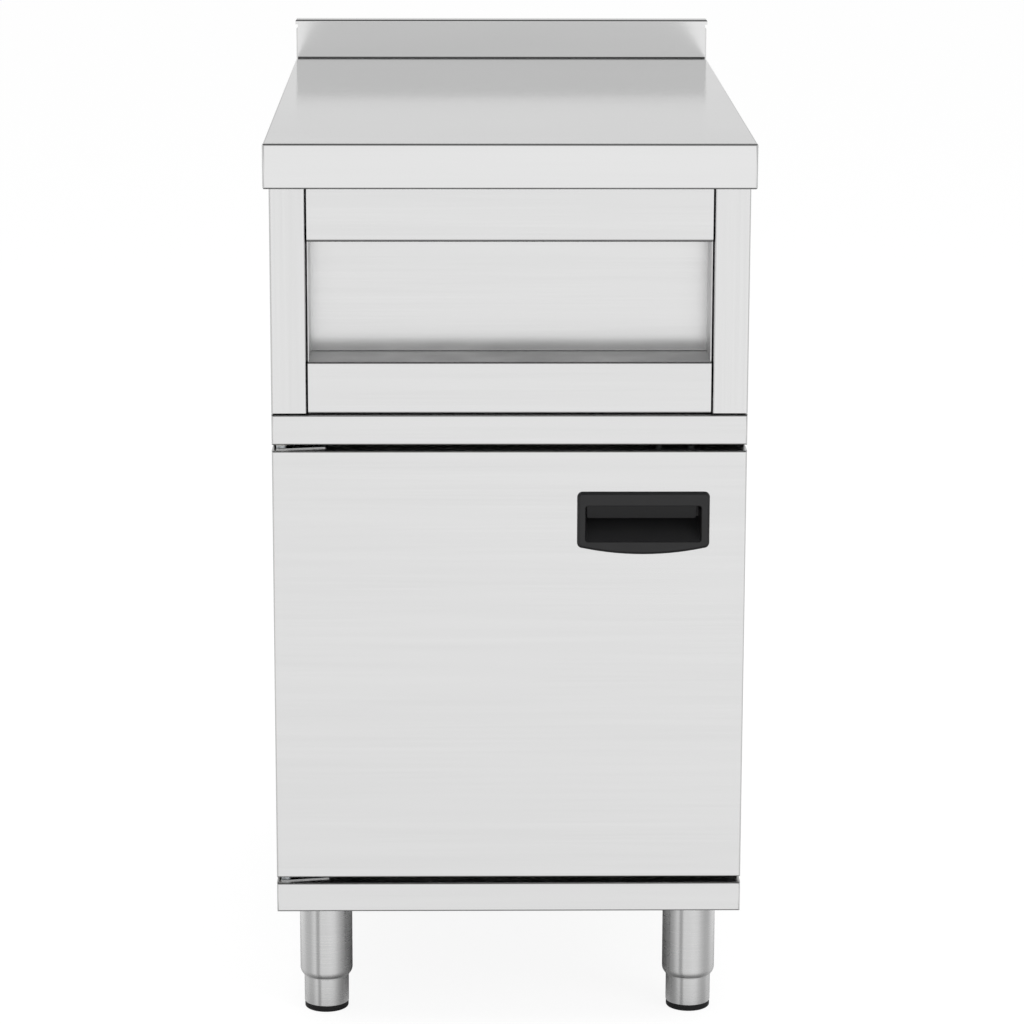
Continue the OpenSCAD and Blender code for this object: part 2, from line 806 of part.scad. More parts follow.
// Foot tube with a closed lower end
module foot_tube(p) {
    outer = foot_d / 2;
    inner = outer - foot_wall;
    bore = stem_d / 2 + snug;
    top = pad_h + foot_tube_l;
    base = 3;
    round_r = foot_wall / 2;
    color(sheet_colour)
        translate([p.x, p.y, 0])
            rotate_extrude()
                polygon(concat([[inner, top], [inner, pad_h + base], [bore, pad_h + base], [bore, pad_h]],
                               arc_pts([outer - round_r, pad_h + round_r], round_r, -90, 0),
                               [[outer, top]]));
}

stem_seat = 3;

// Threaded stem, fixed in the foot
module foot_stem(p) {
    r = stem_d / 2;
    chamfer = 1.5;
    color(zinc_colour)
        translate([p.x, p.y, 0])
            rotate_extrude()
                polygon([[0, pad_h - stem_seat], [r, pad_h - stem_seat], [r, stem_top - chamfer],
                         [r - chamfer, stem_top], [0, stem_top]]);
}

// Rubber pad under a foot
module foot_pad(p) {
    outer = foot_d / 2 - 0.4;
    round_r = 2;
    bore = stem_d / 2 + snug;
    color(rubber_colour)
        translate([p.x, p.y, 0])
            rotate_extrude()
                polygon(concat([[0, 0]], arc_pts([outer - round_r, round_r], round_r, -90, 0),
                               [[outer, pad_h], [bore, pad_h], [bore, pad_h - stem_seat],
                                [0, pad_h - stem_seat]]));
}

module foot_tube_front_left() { foot_tube(leg_spots[0]); }
module foot_tube_front_right() { foot_tube(leg_spots[1]); }
module foot_tube_rear_left() { foot_tube(leg_spots[2]); }
module foot_tube_rear_right() { foot_tube(leg_spots[3]); }
module foot_stem_front_left() { foot_stem(leg_spots[0]); }
module foot_stem_front_right() { foot_stem(leg_spots[1]); }
module foot_stem_rear_left() { foot_stem(leg_spots[2]); }
module foot_stem_rear_right() { foot_stem(leg_spots[3]); }
module foot_pad_front_left() { foot_pad(leg_spots[0]); }
module foot_pad_front_right() { foot_pad(leg_spots[1]); }
module foot_pad_rear_left() { foot_pad(leg_spots[2]); }
module foot_pad_rear_right() { foot_pad(leg_spots[3]); }

// Hinges

// Tapered hinge plate that lies on the given height, with its pin and screw holes
module hinge_plate(z) {
    x0 = -body_x + 4;
    x1 = x0 + hinge_plate_l;
    nose = body_front + hinge_nose_in;
    rear = body_front + hinge_rear_in;
    color(sheet_colour)
        difference() {
            along_z(z, z + hinge_plate_t)
                polygon(concat([[x0, nose], [x1 - 2, nose + hinge_taper], [x1, nose + hinge_taper + 2]],
                               [[x1, rear], [x0 + 2, rear], [x0, rear - 2]]));
            post(pivot_x, pivot_y, z - past, z + hinge_plate_t + past, pin_r + snug);
            for (i = [0, 1])
                post(hinge_screw_x(i), hinge_screw_y, z - past, z + hinge_plate_t + past,
                     screw_d / 2 + snug);
        }
}

// Button-head screws down through a hinge plate that lies on the given height
module hinge_screws(z) {
    top = z + hinge_plate_t;
    color(zinc_colour)
        for (i = [0, 1]) union() {
            post(hinge_screw_x(i), hinge_screw_y, top, top + screw_head_h, screw_head_d / 2);
            post(hinge_screw_x(i), hinge_screw_y, z - sheet_t - reinforce_t - 2, top, screw_d / 2);
        }
}

// Pin with a collar that stops short of the bush above it
module hinge_pin(z) {
    collar_z0 = z + hinge_plate_t;
    collar_z1 = z + door_gap - bush_flange_t - pin_play;
    color(zinc_colour)
        union() {
            post(pivot_x, pivot_y, z - sheet_t - reinforce_t, z + door_gap + bush_flange_t + bush_r, pin_r);
            post(pivot_x, pivot_y, collar_z0, collar_z1, bush_r);
        }
}

// Flanged bush whose barrel goes up through a sheet that starts at the given height
module hinge_bush(z) {
    color(nylon_colour)
        difference() {
            union() {
                post(pivot_x, pivot_y, z - bush_flange_t, z, bush_flange_r);
                post(pivot_x, pivot_y, z, z + sheet_t + reinforce_t + bush_wall, bush_r);
            }
            post(pivot_x, pivot_y, z - bush_flange_t - past, z + sheet_t + reinforce_t + bush_wall + past,
                 pin_r + pin_clear);
        }
}

module hinge_plate_bottom() { hinge_plate(floor_z); }
module hinge_pin_bottom() { hinge_pin(floor_z); }
module hinge_screws_bottom() { hinge_screws(floor_z); }
module hinge_bush_top() { hinge_bush(rail_z); }
module hinge_plate_top() { hinge_plate(door_z1); }
module hinge_pin_top() { hinge_pin(door_z1); }
module hinge_screws_top() { hinge_screws(door_z1); }
module hinge_bush_bottom() { hinge_bush(door_z0); }

// Door

// Opening in the outer skin for the back of the handle
module handle_hole(grow, y0, y1) {
    w = pocket_w / 2 + mould_t + grow;
    along_y(y0, y1)
        polygon(rect_pts([handle_x - w, pocket_z0 - mould_t - grow],
                         [handle_x + w, pocket_z1 + mould_t + grow],
                         [mould_t, mould_t, mould_t, mould_t] + [1, 1, 1, 1] * grow));
}

module handle_screw_holes(y0, y1, r) { for (p = handle_screw_spots) rod_y(p.x, p.y, y0, y1, r); }

// Folded outer skin of the door
module door_outer_skin() {
    color(sheet_colour)
        difference() {
            front_tray([-body_x, body_front, door_z0], [body_x, door_back, door_z1], sheet_t, sheet_r);
            handle_hole(snug, body_front - past, body_front + sheet_t + past);
            handle_screw_holes(body_front - past, body_front + sheet_t + past, handle_screw_r + snug);
            post(pivot_x, pivot_y, door_z0 - past, door_z0 + sheet_t + past, bush_r + snug);
            post(pivot_x, pivot_y, door_z1 - sheet_t - past, door_z1 + past, pin_r + snug);
            for (i = [0, 1])
                post(hinge_screw_x(i), hinge_screw_y, door_z1 - sheet_t - past, door_z1 + past,
                     screw_d / 2 + snug);
        }
}

// Inner skin, a shallow tray that closes the door's back
module door_inner_skin() {
    color(inner_colour)
        mirror([0, 1, 0])
            front_tray([-inner_x, -door_back, door_z0 + sheet_t],
                       [inner_x, -door_back + inner_lip, door_z1 - sheet_t], sheet_t, sheet_r);
}

// Upright hat section between the skins
module door_rib() {
    w = door_rib_w / 2;
    back = door_back - sheet_t;
    web = body_front + 2 * sheet_t;
    color(zinc_colour)
        along_z(door_z0 + door_rib_end, door_z1 - door_rib_end)
            fold([[w + flange_w / 2, back], [w, back], [w, web], [-w, web], [-w, back],
                  [-w - flange_w / 2, back]], sheet_t, sheet_r);
}

// Reinforcements behind the hinge corners of the outer skin
module door_reinforcements() {
    x0 = -back_x;
    x1 = -body_x + 4 + hinge_plate_l;
    y0 = body_front + sheet_r;
    y1 = door_back - inner_lip - past / 2;
    low = door_z0 + sheet_t;
    high = door_z1 - sheet_t;
    color(zinc_colour) {
        difference() {
            box([x0, y0, low], [x1, y1, low + reinforce_t]);
            post(pivot_x, pivot_y, low - past, low + reinforce_t + past, bush_r + snug);
        }
        difference() {
            box([x0, y0, high - reinforce_t], [x1, y1, high]);
            post(pivot_x, pivot_y, high - reinforce_t - past, high + past, pin_r + snug);
            for (i = [0, 1])
                post(hinge_screw_x(i), hinge_screw_y, high - reinforce_t - past, high + past,
                     screw_d / 2 + snug);
        }
    }
}

// Handle

// Outline of the bezel, drawn in by the given amount. The lower edge is an arc through
// the bottom of both sides, and each lower corner is a circle that touches side and arc
function bezel_pts(inset) =
    let (half = handle_w / 2,
         big = (half * half + handle_bow * handle_bow) / (2 * handle_bow),
         big_z = handle_side_z - handle_bow + big,
         small_x = half - handle_r,
         small_z = big_z - sqrt((big - handle_r) * (big - handle_r) - small_x * small_x),
         tilt = atan2(small_z - big_z, small_x),
         r = handle_r - inset,
         steps = 3 * bend_steps)
    concat(
        arc_pts([handle_x + small_x, small_z], r, tilt, 0),
        arc_pts([handle_x + small_x, handle_z1 - handle_r], r, 0, 90),
        arc_pts([handle_x - small_x, handle_z1 - handle_r], r, 90, 180),
        arc_pts([handle_x - small_x, small_z], r, 180, 180 - tilt),
        [for (k = [1 : steps - 1])
            let (a = 180 - tilt + (2 * tilt + 180) * k / steps)
            [handle_x + (big - inset) * cos(a), big_z + (big - inset) * sin(a)]]);

// Moulded pull with its bezel, finger pocket and grip lip
module handle_housing() {
    face = body_front - bezel_h;
    slice = 0.1;
    pocket_r = 2;
    half = pocket_w / 2;
    grip_top = pocket_z1 + mould_t / 2;
    grip_low = pocket_z1 - grip_h;
    grip_y = face + bezel_h / 3;
    color(black_colour) {
        difference() {
            union() {
                hull() {
                    along_y(body_front - bezel_h * 0.2, body_front) polygon(bezel_pts(0));
                    along_y(face + bezel_h * 0.25, face + bezel_h * 0.25 + slice)
                        polygon(bezel_pts(bezel_h * 0.33));
                    along_y(face, face + slice) polygon(bezel_pts(bezel_h * 0.8));
                }
                handle_hole(0, body_front - slice, pocket_y + mould_t);
            }
            along_y(face - past, pocket_y)
                polygon(rect_pts([handle_x - half, pocket_z0], [handle_x + half, pocket_z1],
                                 [pocket_r, pocket_r, pocket_r, pocket_r]));
            handle_screw_holes(body_front - bezel_h * 0.55, body_front + past, handle_screw_r + snug);
        }
        along_x(handle_x - half + grip_gap_left, handle_x + half - grip_gap_right)
            polygon(concat([[grip_y + mould_t, grip_top], [grip_y, grip_top]],
                           arc_pts([grip_y + grip_slope + mould_t / 2, grip_low + mould_t / 2],
                                   mould_t / 2, 200, 380)));
        // The pocket's back slopes up and away from its lower edge
        along_x(handle_x - half, handle_x + half)
            polygon([[body_front, pocket_z0 - mould_t / 2], [pocket_y + mould_t / 2, pocket_z0 - mould_t / 2],
                     [pocket_y + mould_t / 2, pocket_z0 + pocket_rise],
                     [pocket_y, pocket_z0 + pocket_rise], [body_front, pocket_z0 + mould_t / 4]]);
    }
}

// Plate that clamps the housing from inside the door
module handle_clamp() {
    margin = 3;
    y0 = body_front + sheet_t;
    color(zinc_colour)
        difference() {
            along_y(y0, y0 + bracket_t)
                polygon(rect_pts([handle_x - handle_w / 2 + margin, handle_side_z - handle_bow],
                                 [handle_x + handle_w / 2 - margin, handle_z1 - margin],
                                 [margin, margin, margin, margin]));
            handle_hole(snug, y0 - past, y0 + bracket_t + past);
            handle_screw_holes(y0 - past, y0 + bracket_t + past, handle_screw_r + snug);
        }
}

module handle_screws() {
    y = body_front + sheet_t + bracket_t;
    color(zinc_colour)
        for (p = handle_screw_spots) union() {
            rod_y(p.x, p.y, y, y + screw_head_h, screw_head_d / 2);
            rod_y(p.x, p.y, body_front - bezel_h * 0.5, y, handle_screw_r);
        }
}

// Magnet catch

// Angle under the top rail that carries the catch
module catch_bracket() {
    color(zinc_colour)
        difference() {
            along_x(catch_x0, catch_x1)
                fold([[bracket_y, catch_z0], [bracket_y, rail_z], [catch_y, rail_z]],
                     bracket_t, bracket_t + bend_in);
            for (x = catch_screw_xs)
                post(x, catch_screw_y, rail_z - bracket_t - past, rail_z + past, screw_d / 2 + snug);
        }
}

magnet_w = catch_w - 12;
magnet_h = catch_h / 2;
magnet_d = 10;
pole_t = 1.2;
magnet_z0 = (catch_z0 + catch_z1) / 2 - magnet_h / 2;

// Plastic case of the catch
module catch_case() {
    x0 = (catch_x0 + catch_x1 - magnet_w) / 2;
    r = 1.5;
    color(nylon_colour)
        difference() {
            along_y(catch_y, bracket_y - bracket_t)
                polygon(rect_pts([catch_x0, catch_z0], [catch_x1, catch_z1 - bend_in], [r, r, r, r]));
            box([x0, catch_y - past, magnet_z0], [x0 + magnet_w, catch_y + magnet_d, magnet_z0 + magnet_h]);
        }
}

// Magnet between its two pole plates
module catch_magnet() {
    x0 = (catch_x0 + catch_x1 - magnet_w) / 2;
    x1 = x0 + magnet_w;
    y1 = catch_y + magnet_d;
    color(zinc_colour) {
        box([x0, catch_y, magnet_z0], [x1, y1, magnet_z0 + pole_t]);
        box([x0, catch_y, magnet_z0 + magnet_h - pole_t], [x1, y1, magnet_z0 + magnet_h]);
        box([x0, catch_y + pole_t, magnet_z0 + pole_t], [x1, y1, magnet_z0 + magnet_h - pole_t]);
    }
}

// Screws up through the bracket into the rail
module catch_screws() {
    low = rail_z - bracket_t;
    color(zinc_colour)
        for (x = catch_screw_xs) union() {
            post(x, catch_screw_y, low - screw_head_h, low, screw_head_d / 2);
            post(x, catch_screw_y, low, rail_z + sheet_t + 3, screw_d / 2);
        }
}

// Steel plate on the inner skin that the magnet holds
module keeper_plate() {
    r = 2;
    z0 = catch_z0 + r;
    color(zinc_colour)
        along_y(door_back, door_back + keeper_t)
            polygon(rect_pts([catch_x0, z0], [catch_x1, catch_z1 - r], [r, r, r, r]));
}

worktop();
upstand_end_plates();
worktop_stiffeners();
top_side_left();
top_side_right();
front_panel();
recess_end_plates();
top_back_panel();
top_back_rivets();
base_top_rail();
base_rear_rail();
base_floor_pan();
base_side_left();
base_side_right();
base_back_panel();
base_back_rivets();
joining_bolts();
joining_nuts();
joining_washers();
leg_bearers();
leg_plates();
leg_plate_bolts();
leg_plate_nuts();
leg_discs();
leg_sleeve_front_left();
leg_sleeve_front_right();
leg_sleeve_rear_left();
leg_sleeve_rear_right();
hinge_plate_bottom();
hinge_pin_bottom();
hinge_screws_bottom();
hinge_bush_top();
catch_bracket();
catch_case();
catch_magnet();
catch_screws();
door_outer_skin();
door_inner_skin();
door_rib();
door_reinforcements();
hinge_plate_top();
hinge_pin_top();
hinge_screws_top();
hinge_bush_bottom();
handle_housing();
handle_clamp();
handle_screws();
keeper_plate();
foot_tube_front_left();
foot_stem_front_left();
foot_pad_front_left();
foot_tube_front_right();
foot_stem_front_right();
foot_pad_front_right();
foot_tube_rear_left();
foot_stem_rear_left();
foot_pad_rear_left();
foot_tube_rear_right();
foot_stem_rear_right();
foot_pad_rear_right();
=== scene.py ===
"""Stainless neutral work module: the dressed model, laid out as an add-on and run as a script."""
import json
import math

import bmesh
import bpy
from bpy.props import FloatProperty, FloatVectorProperty, IntProperty, PointerProperty
from mathutils import Matrix, Vector

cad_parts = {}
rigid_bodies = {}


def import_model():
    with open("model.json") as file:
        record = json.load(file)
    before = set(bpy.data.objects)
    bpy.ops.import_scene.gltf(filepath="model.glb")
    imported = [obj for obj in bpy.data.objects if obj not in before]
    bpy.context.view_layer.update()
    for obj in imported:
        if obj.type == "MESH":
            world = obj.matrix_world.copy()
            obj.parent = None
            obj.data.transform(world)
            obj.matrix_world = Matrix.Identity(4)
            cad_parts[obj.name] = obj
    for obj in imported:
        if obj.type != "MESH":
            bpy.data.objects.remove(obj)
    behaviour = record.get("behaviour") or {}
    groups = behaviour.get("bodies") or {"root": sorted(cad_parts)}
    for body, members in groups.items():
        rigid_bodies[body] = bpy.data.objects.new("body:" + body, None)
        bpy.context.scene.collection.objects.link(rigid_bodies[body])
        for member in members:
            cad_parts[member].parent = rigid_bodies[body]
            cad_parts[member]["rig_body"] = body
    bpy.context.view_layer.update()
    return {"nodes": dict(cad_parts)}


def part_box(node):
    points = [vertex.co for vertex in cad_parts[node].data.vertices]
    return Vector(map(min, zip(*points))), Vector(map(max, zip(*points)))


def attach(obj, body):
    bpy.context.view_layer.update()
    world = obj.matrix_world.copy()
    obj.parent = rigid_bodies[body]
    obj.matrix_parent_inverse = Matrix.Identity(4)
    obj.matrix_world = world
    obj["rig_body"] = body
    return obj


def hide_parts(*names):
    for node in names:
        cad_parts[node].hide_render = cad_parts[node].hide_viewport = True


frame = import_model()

bl_info = {
    "name": "Neutral work module",
    "version": (1, 0, 0),
    "blender": (4, 5, 0),
    "location": "View3D > Sidebar > Work module",
    "description": "Dresses a stainless catering cabinet with its moulded pull, tubes and fasteners",
    "category": "Object",
}

MM = 0.001
# Vertices closer than this are one
SAME_PLACE = 0.002 * MM
CORNERS = ("front_left", "front_right", "rear_left", "rear_right")


def linear(hex_colour):
    """sRGB hex to the linear red, green and blue that a shader takes."""
    parts = [int(hex_colour[k:k + 2], 16) / 255 for k in (0, 2, 4)]
    return [c / 12.92 if c <= 0.04045 else ((c + 0.055) / 1.055) ** 2.4 for c in parts]


def length(name, text, value):
    return FloatProperty(
        name=name, description=text, default=value, min=0, unit="LENGTH", subtype="DISTANCE")


def colour(name, text, value):
    return FloatVectorProperty(
        name=name, description=text, default=linear(value), size=3, min=0, max=1, subtype="COLOR")


def amount(name, text, value):
    return FloatProperty(name=name, description=text, default=value, min=0, max=1, subtype="FACTOR")


class ModulePullSizes(bpy.types.PropertyGroup):
    bow: length("Bow", "How far the bezel's lower edge bows below its sides", 7 * MM)
    corner: length("Corner", "Radius of the bezel's corners", 5 * MM)
    height: length("Height", "Height of the bezel above the door", 3 * MM)
    rim: length("Rim", "Width of the bezel's sloping rim", 2.4 * MM)
    pocket_w: length("Pocket width", "Width of the finger pocket", 107.5 * MM)
    pocket_h: length("Pocket height", "Height of the finger pocket", 33.5 * MM)
    pocket_drop: length("Pocket drop", "From the bezel's top edge to the pocket", 13.5 * MM)
    draft: length("Draft", "How far the pocket's walls lean in", 1.7 * MM)
    rise: length("Rise", "Height that the pocket's sloping back rises to", 20 * MM)
    wall: length("Wall", "Wall of the moulding", 2 * MM)
    grip_h: length("Grip height", "Height of the grip lip", 12.5 * MM)
    grip_slope: length("Grip slope", "How far the grip lip slopes in", 4.5 * MM)
    gap_left: length("Left gap", "Gap left of the grip lip", 1 * MM)
    gap_right: length("Right gap", "Gap right of the grip lip", 4.5 * MM)


class ModuleLegSizes(bpy.types.PropertyGroup):
    swage: length("Swage height", "Height of the sleeve's drawn-in curve", 7 * MM)
    lip_h: length("Lip height", "Height of the sleeve's lip on the foot tube", 1 * MM)
    lip_wall: length("Lip wall", "Wall of that lip", 0.5 * MM)
    clearance: length("Clearance", "Running clearance of a foot in its sleeve", 0.08 * MM)
    wall: length("Tube wall", "Wall of the sleeves and foot tubes", 1.5 * MM)
    segments: IntProperty(
        name="Segments", description="Facets round a tube", default=96, min=24, max=192)


class ModuleFastenerSizes(bpy.types.PropertyGroup):
    chamfer: length("Chamfer", "Height of the chamfer on bolt heads and nuts", 0.7 * MM)
    washer_w: length("Washer", "Diameter of the washers under bolt heads", 11.6 * MM)
    washer_t: length("Washer thickness", "Thickness of those washers", 0.6 * MM)
    socket: length("Socket", "Width of the hexagon socket in the small screws", 2.5 * MM)
    mandrel: length("Mandrel", "Diameter of the dimple in a rivet's head", 1.9 * MM)


class ModuleFinish(bpy.types.PropertyGroup):
    steel: colour("Steel", "Brushed stainless sheet", "E0E0E0")
    mill_steel: colour("Mill steel", "Mill-finished stainless inside the unit", "CDCFD0")
    dull_steel: colour("Dull steel", "Unground stainless in the recess", "E0E0E0")
    tube_steel: colour("Tube steel", "Stainless tube of the legs", "E2E2E2")
    zinc: colour("Zinc", "Zinc-plated fasteners and plates", "B9BDC0")
    # Near black: black zinc, and partly painted shade for the gaps of the door
    black_zinc_gap_shade: colour("Black zinc", "Angle of the catch, and the pivot screws", "26272A")
    moulding: colour("Moulding", "Black moulded nylon of the pull", "1D1D1E")
    acetal: colour("Acetal", "White acetal of the bushes and the catch's case", "E4E1D8")
    rubber: colour("Rubber", "Black rubber of the feet", "161617")
    ferrite: colour("Ferrite", "Magnet of the catch", "3B3B3D")
    sheet_roughness: amount("Sheet roughness", "Roughness of the brushed sheet", 0.23)
    top_roughness: amount("Top roughness", "Roughness of the worktop's finer ground sheet", 0.11)
    tube_roughness: amount("Tube roughness", "Roughness of the tubes", 0.28)
    mould_roughness: amount("Moulding roughness", "Roughness of the black moulding", 0.4)


class ModuleStage(bpy.types.PropertyGroup):
    lens_mm: FloatProperty(
        name="Lens", description="Focal length on a 36 mm sensor", default=132.1, min=20)
    key: FloatProperty(name="Key", description="Power of the overhead lamp in watts", default=62, min=0)
    side: FloatProperty(name="Side", description="Power of the side lamp in watts", default=34, min=0)
    sky: FloatProperty(
        name="Sky", description="Strength of the white room for soft light", default=0.6, min=0)


# Materials

def put(tree, kind, into=(), **settings):
    """Adds a node with its settings and inputs. A node given as an input stands for its first output."""
    made = tree.nodes.new(kind)
    for name, value in settings.items():
        setattr(made, name, value)
    for name, value in dict(into).items():
        sources = value if isinstance(value, list) else [value]
        sources = [each.outputs[0] if isinstance(each, bpy.types.Node) else each for each in sources]
        if isinstance(sources[0], bpy.types.NodeSocket):
            for source in sources:
                tree.links.new(source, made.inputs[name])
        else:
            made.inputs[name].default_value = value
    return made


def blank_material(name):
    """An empty material, its tree and the coordinates that its patterns read."""
    made = bpy.data.materials.new(name)
    made.use_nodes = True
    made.node_tree.nodes.clear()
    return made, made.node_tree, put(made.node_tree, "ShaderNodeTexCoord").outputs


def shade(rgb, factor):
    return [min(1, c * factor) for c in rgb] + [1]


def varied(tree, rgb, shades, roughness, spread, tint_by, rough_by, ends=(0.3, 0.7)):
    """Colour and roughness that follow a pattern, from darker and rougher to lighter and smoother."""
    tint = put(tree, "ShaderNodeMix", {
        0: tint_by, 6: shade(rgb, shades[0]), 7: shade(rgb, shades[1])}, data_type="RGBA")
    rough = put(tree, "ShaderNodeMapRange", {
        0: rough_by, 1: ends[0], 2: ends[1], 3: roughness + spread[0], 4: roughness - spread[1]})
    return {"Base Color": tint.outputs[2], "Roughness": rough}


def covered(made, sockets):
    """Ends a material in the shader that all finishes share."""
    skin = put(made.node_tree, "ShaderNodeBsdfPrincipled", sockets)
    put(made.node_tree, "ShaderNodeOutputMaterial", {"Surface": skin})
    return made


def sheet_steel(name, rgb, roughness, along, streak=1.0):
    """Stainless sheet ground with a belt: fine straight lines along one axis, soft reflections."""
    made, tree, where = blank_material(name)
    # A face that looks along the lines' axis, such as the edge of a fold, has its lines along Y
    split = put(tree, "ShaderNodeSeparateXYZ", {0: where["Normal"]})
    facing = put(tree, "ShaderNodeMath", {0: split.outputs[along]}, operation="ABSOLUTE")
    turned = put(tree, "ShaderNodeMath", {0: facing, 1: 0.7}, operation="GREATER_THAN")
    # Lines 180 mm long and 1.3 mm wide: the real ones are 0.1 mm wide, too fine to show
    mapped = []
    for axis in (along, 1):
        scale = [1 / (1.3 * MM)] * 3
        scale[axis] = 1 / (180 * MM)
        mapped.append(put(tree, "ShaderNodeMapping", {"Vector": where["Object"], "Scale": scale}))
    lines = put(tree, "ShaderNodeMix", {0: turned, 4: mapped[0], 5: mapped[1]},
                data_type="VECTOR").outputs[1]
    fine = put(tree, "ShaderNodeTexNoise", {"Vector": lines, "Scale": 1, "Detail": 2, "Roughness": 0.6})
    # Broader streaks between them, about 450 mm long and 11 mm wide
    wider = put(tree, "ShaderNodeVectorMath", {0: lines, 1: (0.4, 0.12, 0.12)}, operation="MULTIPLY")
    broad = put(tree, "ShaderNodeTexNoise", {"Vector": wider, "Scale": 1, "Detail": 2, "Roughness": 0.5})
    both = put(tree, "ShaderNodeMath", {0: fine, 1: broad}, operation="ADD")
    ends = (0.7, 1.3)
    tone = put(tree, "ShaderNodeMapRange", {0: both, 1: ends[0], 2: ends[1], 3: 0, 4: 1})
    # The sheet is never quite flat: waves about 220 mm long and a few tenths of a millimetre deep
    slow = put(tree, "ShaderNodeTexNoise", {
        "Vector": where["Object"], "Scale": 4.5, "Detail": 1, "Roughness": 0.4})
    wave = put(tree, "ShaderNodeBump", {"Height": slow, "Distance": 0.5 * MM, "Strength": 1})
    ground = put(tree, "ShaderNodeBump", {
        "Height": fine, "Distance": 0.006 * MM * streak, "Strength": 1, "Normal": wave})
    shades = (1 - 0.012 * streak, 1 + 0.011 * streak)
    spread = (0.016 * streak, 0.016 * streak)
    return covered(made, {**varied(tree, rgb, shades, roughness, spread, tone, both, ends),
                          "Metallic": 1, "Normal": ground})


def tube_steel(name, rgb, roughness):
    """Stainless tube ground while it turns: lines round it draw reflections into upright streaks."""
    made, tree, where = blank_material(name)
    # Rings about 1 mm apart that change slowly round the tube
    lines = put(tree, "ShaderNodeMapping", {"Vector": where["Object"], "Scale": (18, 18, 900)})
    fine = put(tree, "ShaderNodeTexNoise", {"Vector": lines, "Scale": 1, "Detail": 2, "Roughness": 0.6})
    ground = put(tree, "ShaderNodeBump", {"Height": fine, "Distance": 0.0025 * MM, "Strength": 1})
    around = put(tree, "ShaderNodeTangent", direction_type="UV_MAP", uv_map="Round")
    return covered(made, {
        **varied(tree, rgb, (0.985, 1.01), roughness, (0.012, 0.012), fine, fine), "Metallic": 1,
        "Anisotropic": 0.96, "Anisotropic Rotation": 0.25, "Normal": ground, "Tangent": around})


def plated_steel(name, rgb, roughness, cloud_mm):
    """Zinc-plated or mill-finished steel: cloudy satin with no lines."""
    made, tree, where = blank_material(name)
    cloud = put(tree, "ShaderNodeTexNoise", {
        "Vector": where["Object"], "Scale": 1 / (cloud_mm * MM), "Detail": 4, "Roughness": 0.6})
    return covered(made, {
        **varied(tree, rgb, (0.9, 1.08), roughness, (0.06, 0.05), cloud, cloud), "Metallic": 1})


def moulded(name, rgb, roughness, grain_mm, depth_mm, level=0.5):
    """Moulded plastic or rubber: an even colour under a fine eroded grain that scatters its gloss."""
    made, tree, where = blank_material(name)
    grain = put(tree, "ShaderNodeTexNoise", {
        "Vector": where["Object"], "Scale": 1 / (grain_mm * MM), "Detail": 3, "Roughness": 0.6})
    worn = put(tree, "ShaderNodeTexNoise", {"Vector": where["Object"], "Scale": 60, "Detail": 2})
    relief = put(tree, "ShaderNodeBump", {"Height": grain, "Distance": depth_mm * MM, "Strength": 1})
    return covered(made, {
        **varied(tree, rgb, (0.92, 1.1), roughness, (0.03, 0.03), grain, worn),
        "Specular IOR Level": level, "Normal": relief})


def finishes():
    """What makes each material, by its short name."""
    finish = bpy.context.scene.module_finish
    return {
        # Belt-ground 304 stainless, lines across the unit: pale grey, soft mirror, faint streaks
        "across": lambda: sheet_steel("Brushed 304 stainless, lines across", finish.steel,
                                      finish.sheet_roughness, 0),
        # Worktop sheet, ground finer: it mirrors the upstand softly
        "top": lambda: sheet_steel("Fine-ground 304 stainless, lines across", finish.steel,
                                   finish.top_roughness, 0, 0.6),
        # The same sheet with its lines upright, as on the folded sides and posts
        "upright": lambda: sheet_steel("Brushed 304 stainless, lines upright", finish.steel,
                                       finish.sheet_roughness, 2),
        # Turned and ground tube: bright upright streaks, darker towards its sides
        "tube": lambda: tube_steel("Linished 304 stainless tube", finish.tube_steel,
                                   finish.tube_roughness),
        # Cold-rolled 2B sheet as it leaves the mill: greyer and cloudy, for faces that nobody sees
        "mill": lambda: plated_steel("Mill-finished 2B stainless", finish.mill_steel, 0.38, 40),
        # The same sheet inside the recess, where the belt doesn't reach: no lines, a wide soft gloss
        "dull": lambda: plated_steel("Unground 304 stainless in the recess", finish.dull_steel,
                                     0.42, 60),
        # Polished pivot plates: a mirror of the dark gap, with a light line along the front edge
        "polished": lambda: plated_steel("Polished stainless pivot plate", finish.steel, 0.1, 5),
        # Bright zinc with a cool tinge and soft blotches about 6 mm wide
        "zinc": lambda: plated_steel("Zinc-plated steel", finish.zinc, 0.34, 6),
        # Black passivated zinc on the catch's angle and the pivot screws; its near-black colour is also
        # painted shade for the gaps of the door
        "black zinc with gap shade": lambda: plated_steel("Black-passivated zinc with painted gap shade", finish.black_zinc_gap_shade, 0.5, 6),
        # Glass-filled nylon 6 from an eroded mould: near black, with a broad grey sheen
        "moulding": lambda: moulded("Black nylon 6, eroded grain", finish.moulding,
                                    finish.mould_roughness, 0.5, 0.012, 0.4),
        # Natural acetal: warm white with a waxy gloss
        "acetal": lambda: moulded("White acetal", finish.acetal, 0.4, 1.5, 0.004),
        # Moulded rubber: dead black, almost no gloss
        "rubber": lambda: moulded("Black moulded rubber", finish.rubber, 0.62, 0.8, 0.02, 0.35),
        # Sintered ferrite with steel poles: dark grey and slightly rough
        "ferrite": lambda: moulded("Sintered ferrite", finish.ferrite, 0.55, 0.7, 0.01),
    }


MATERIALS = {}


def finish_of(name):
    """A material, made when it is first asked for."""
    if name not in MATERIALS:
        MATERIALS[name] = finishes()[name]()
    return MATERIALS[name]


# Meshes

def settle(piece, finish, node):
    """Gives a finished piece its material and body, and hides the node that it stands for."""
    piece.data.materials.clear()
    piece.data.materials.append(finish_of(finish))
    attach(piece, body_of(node))
    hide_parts(node)
    return piece


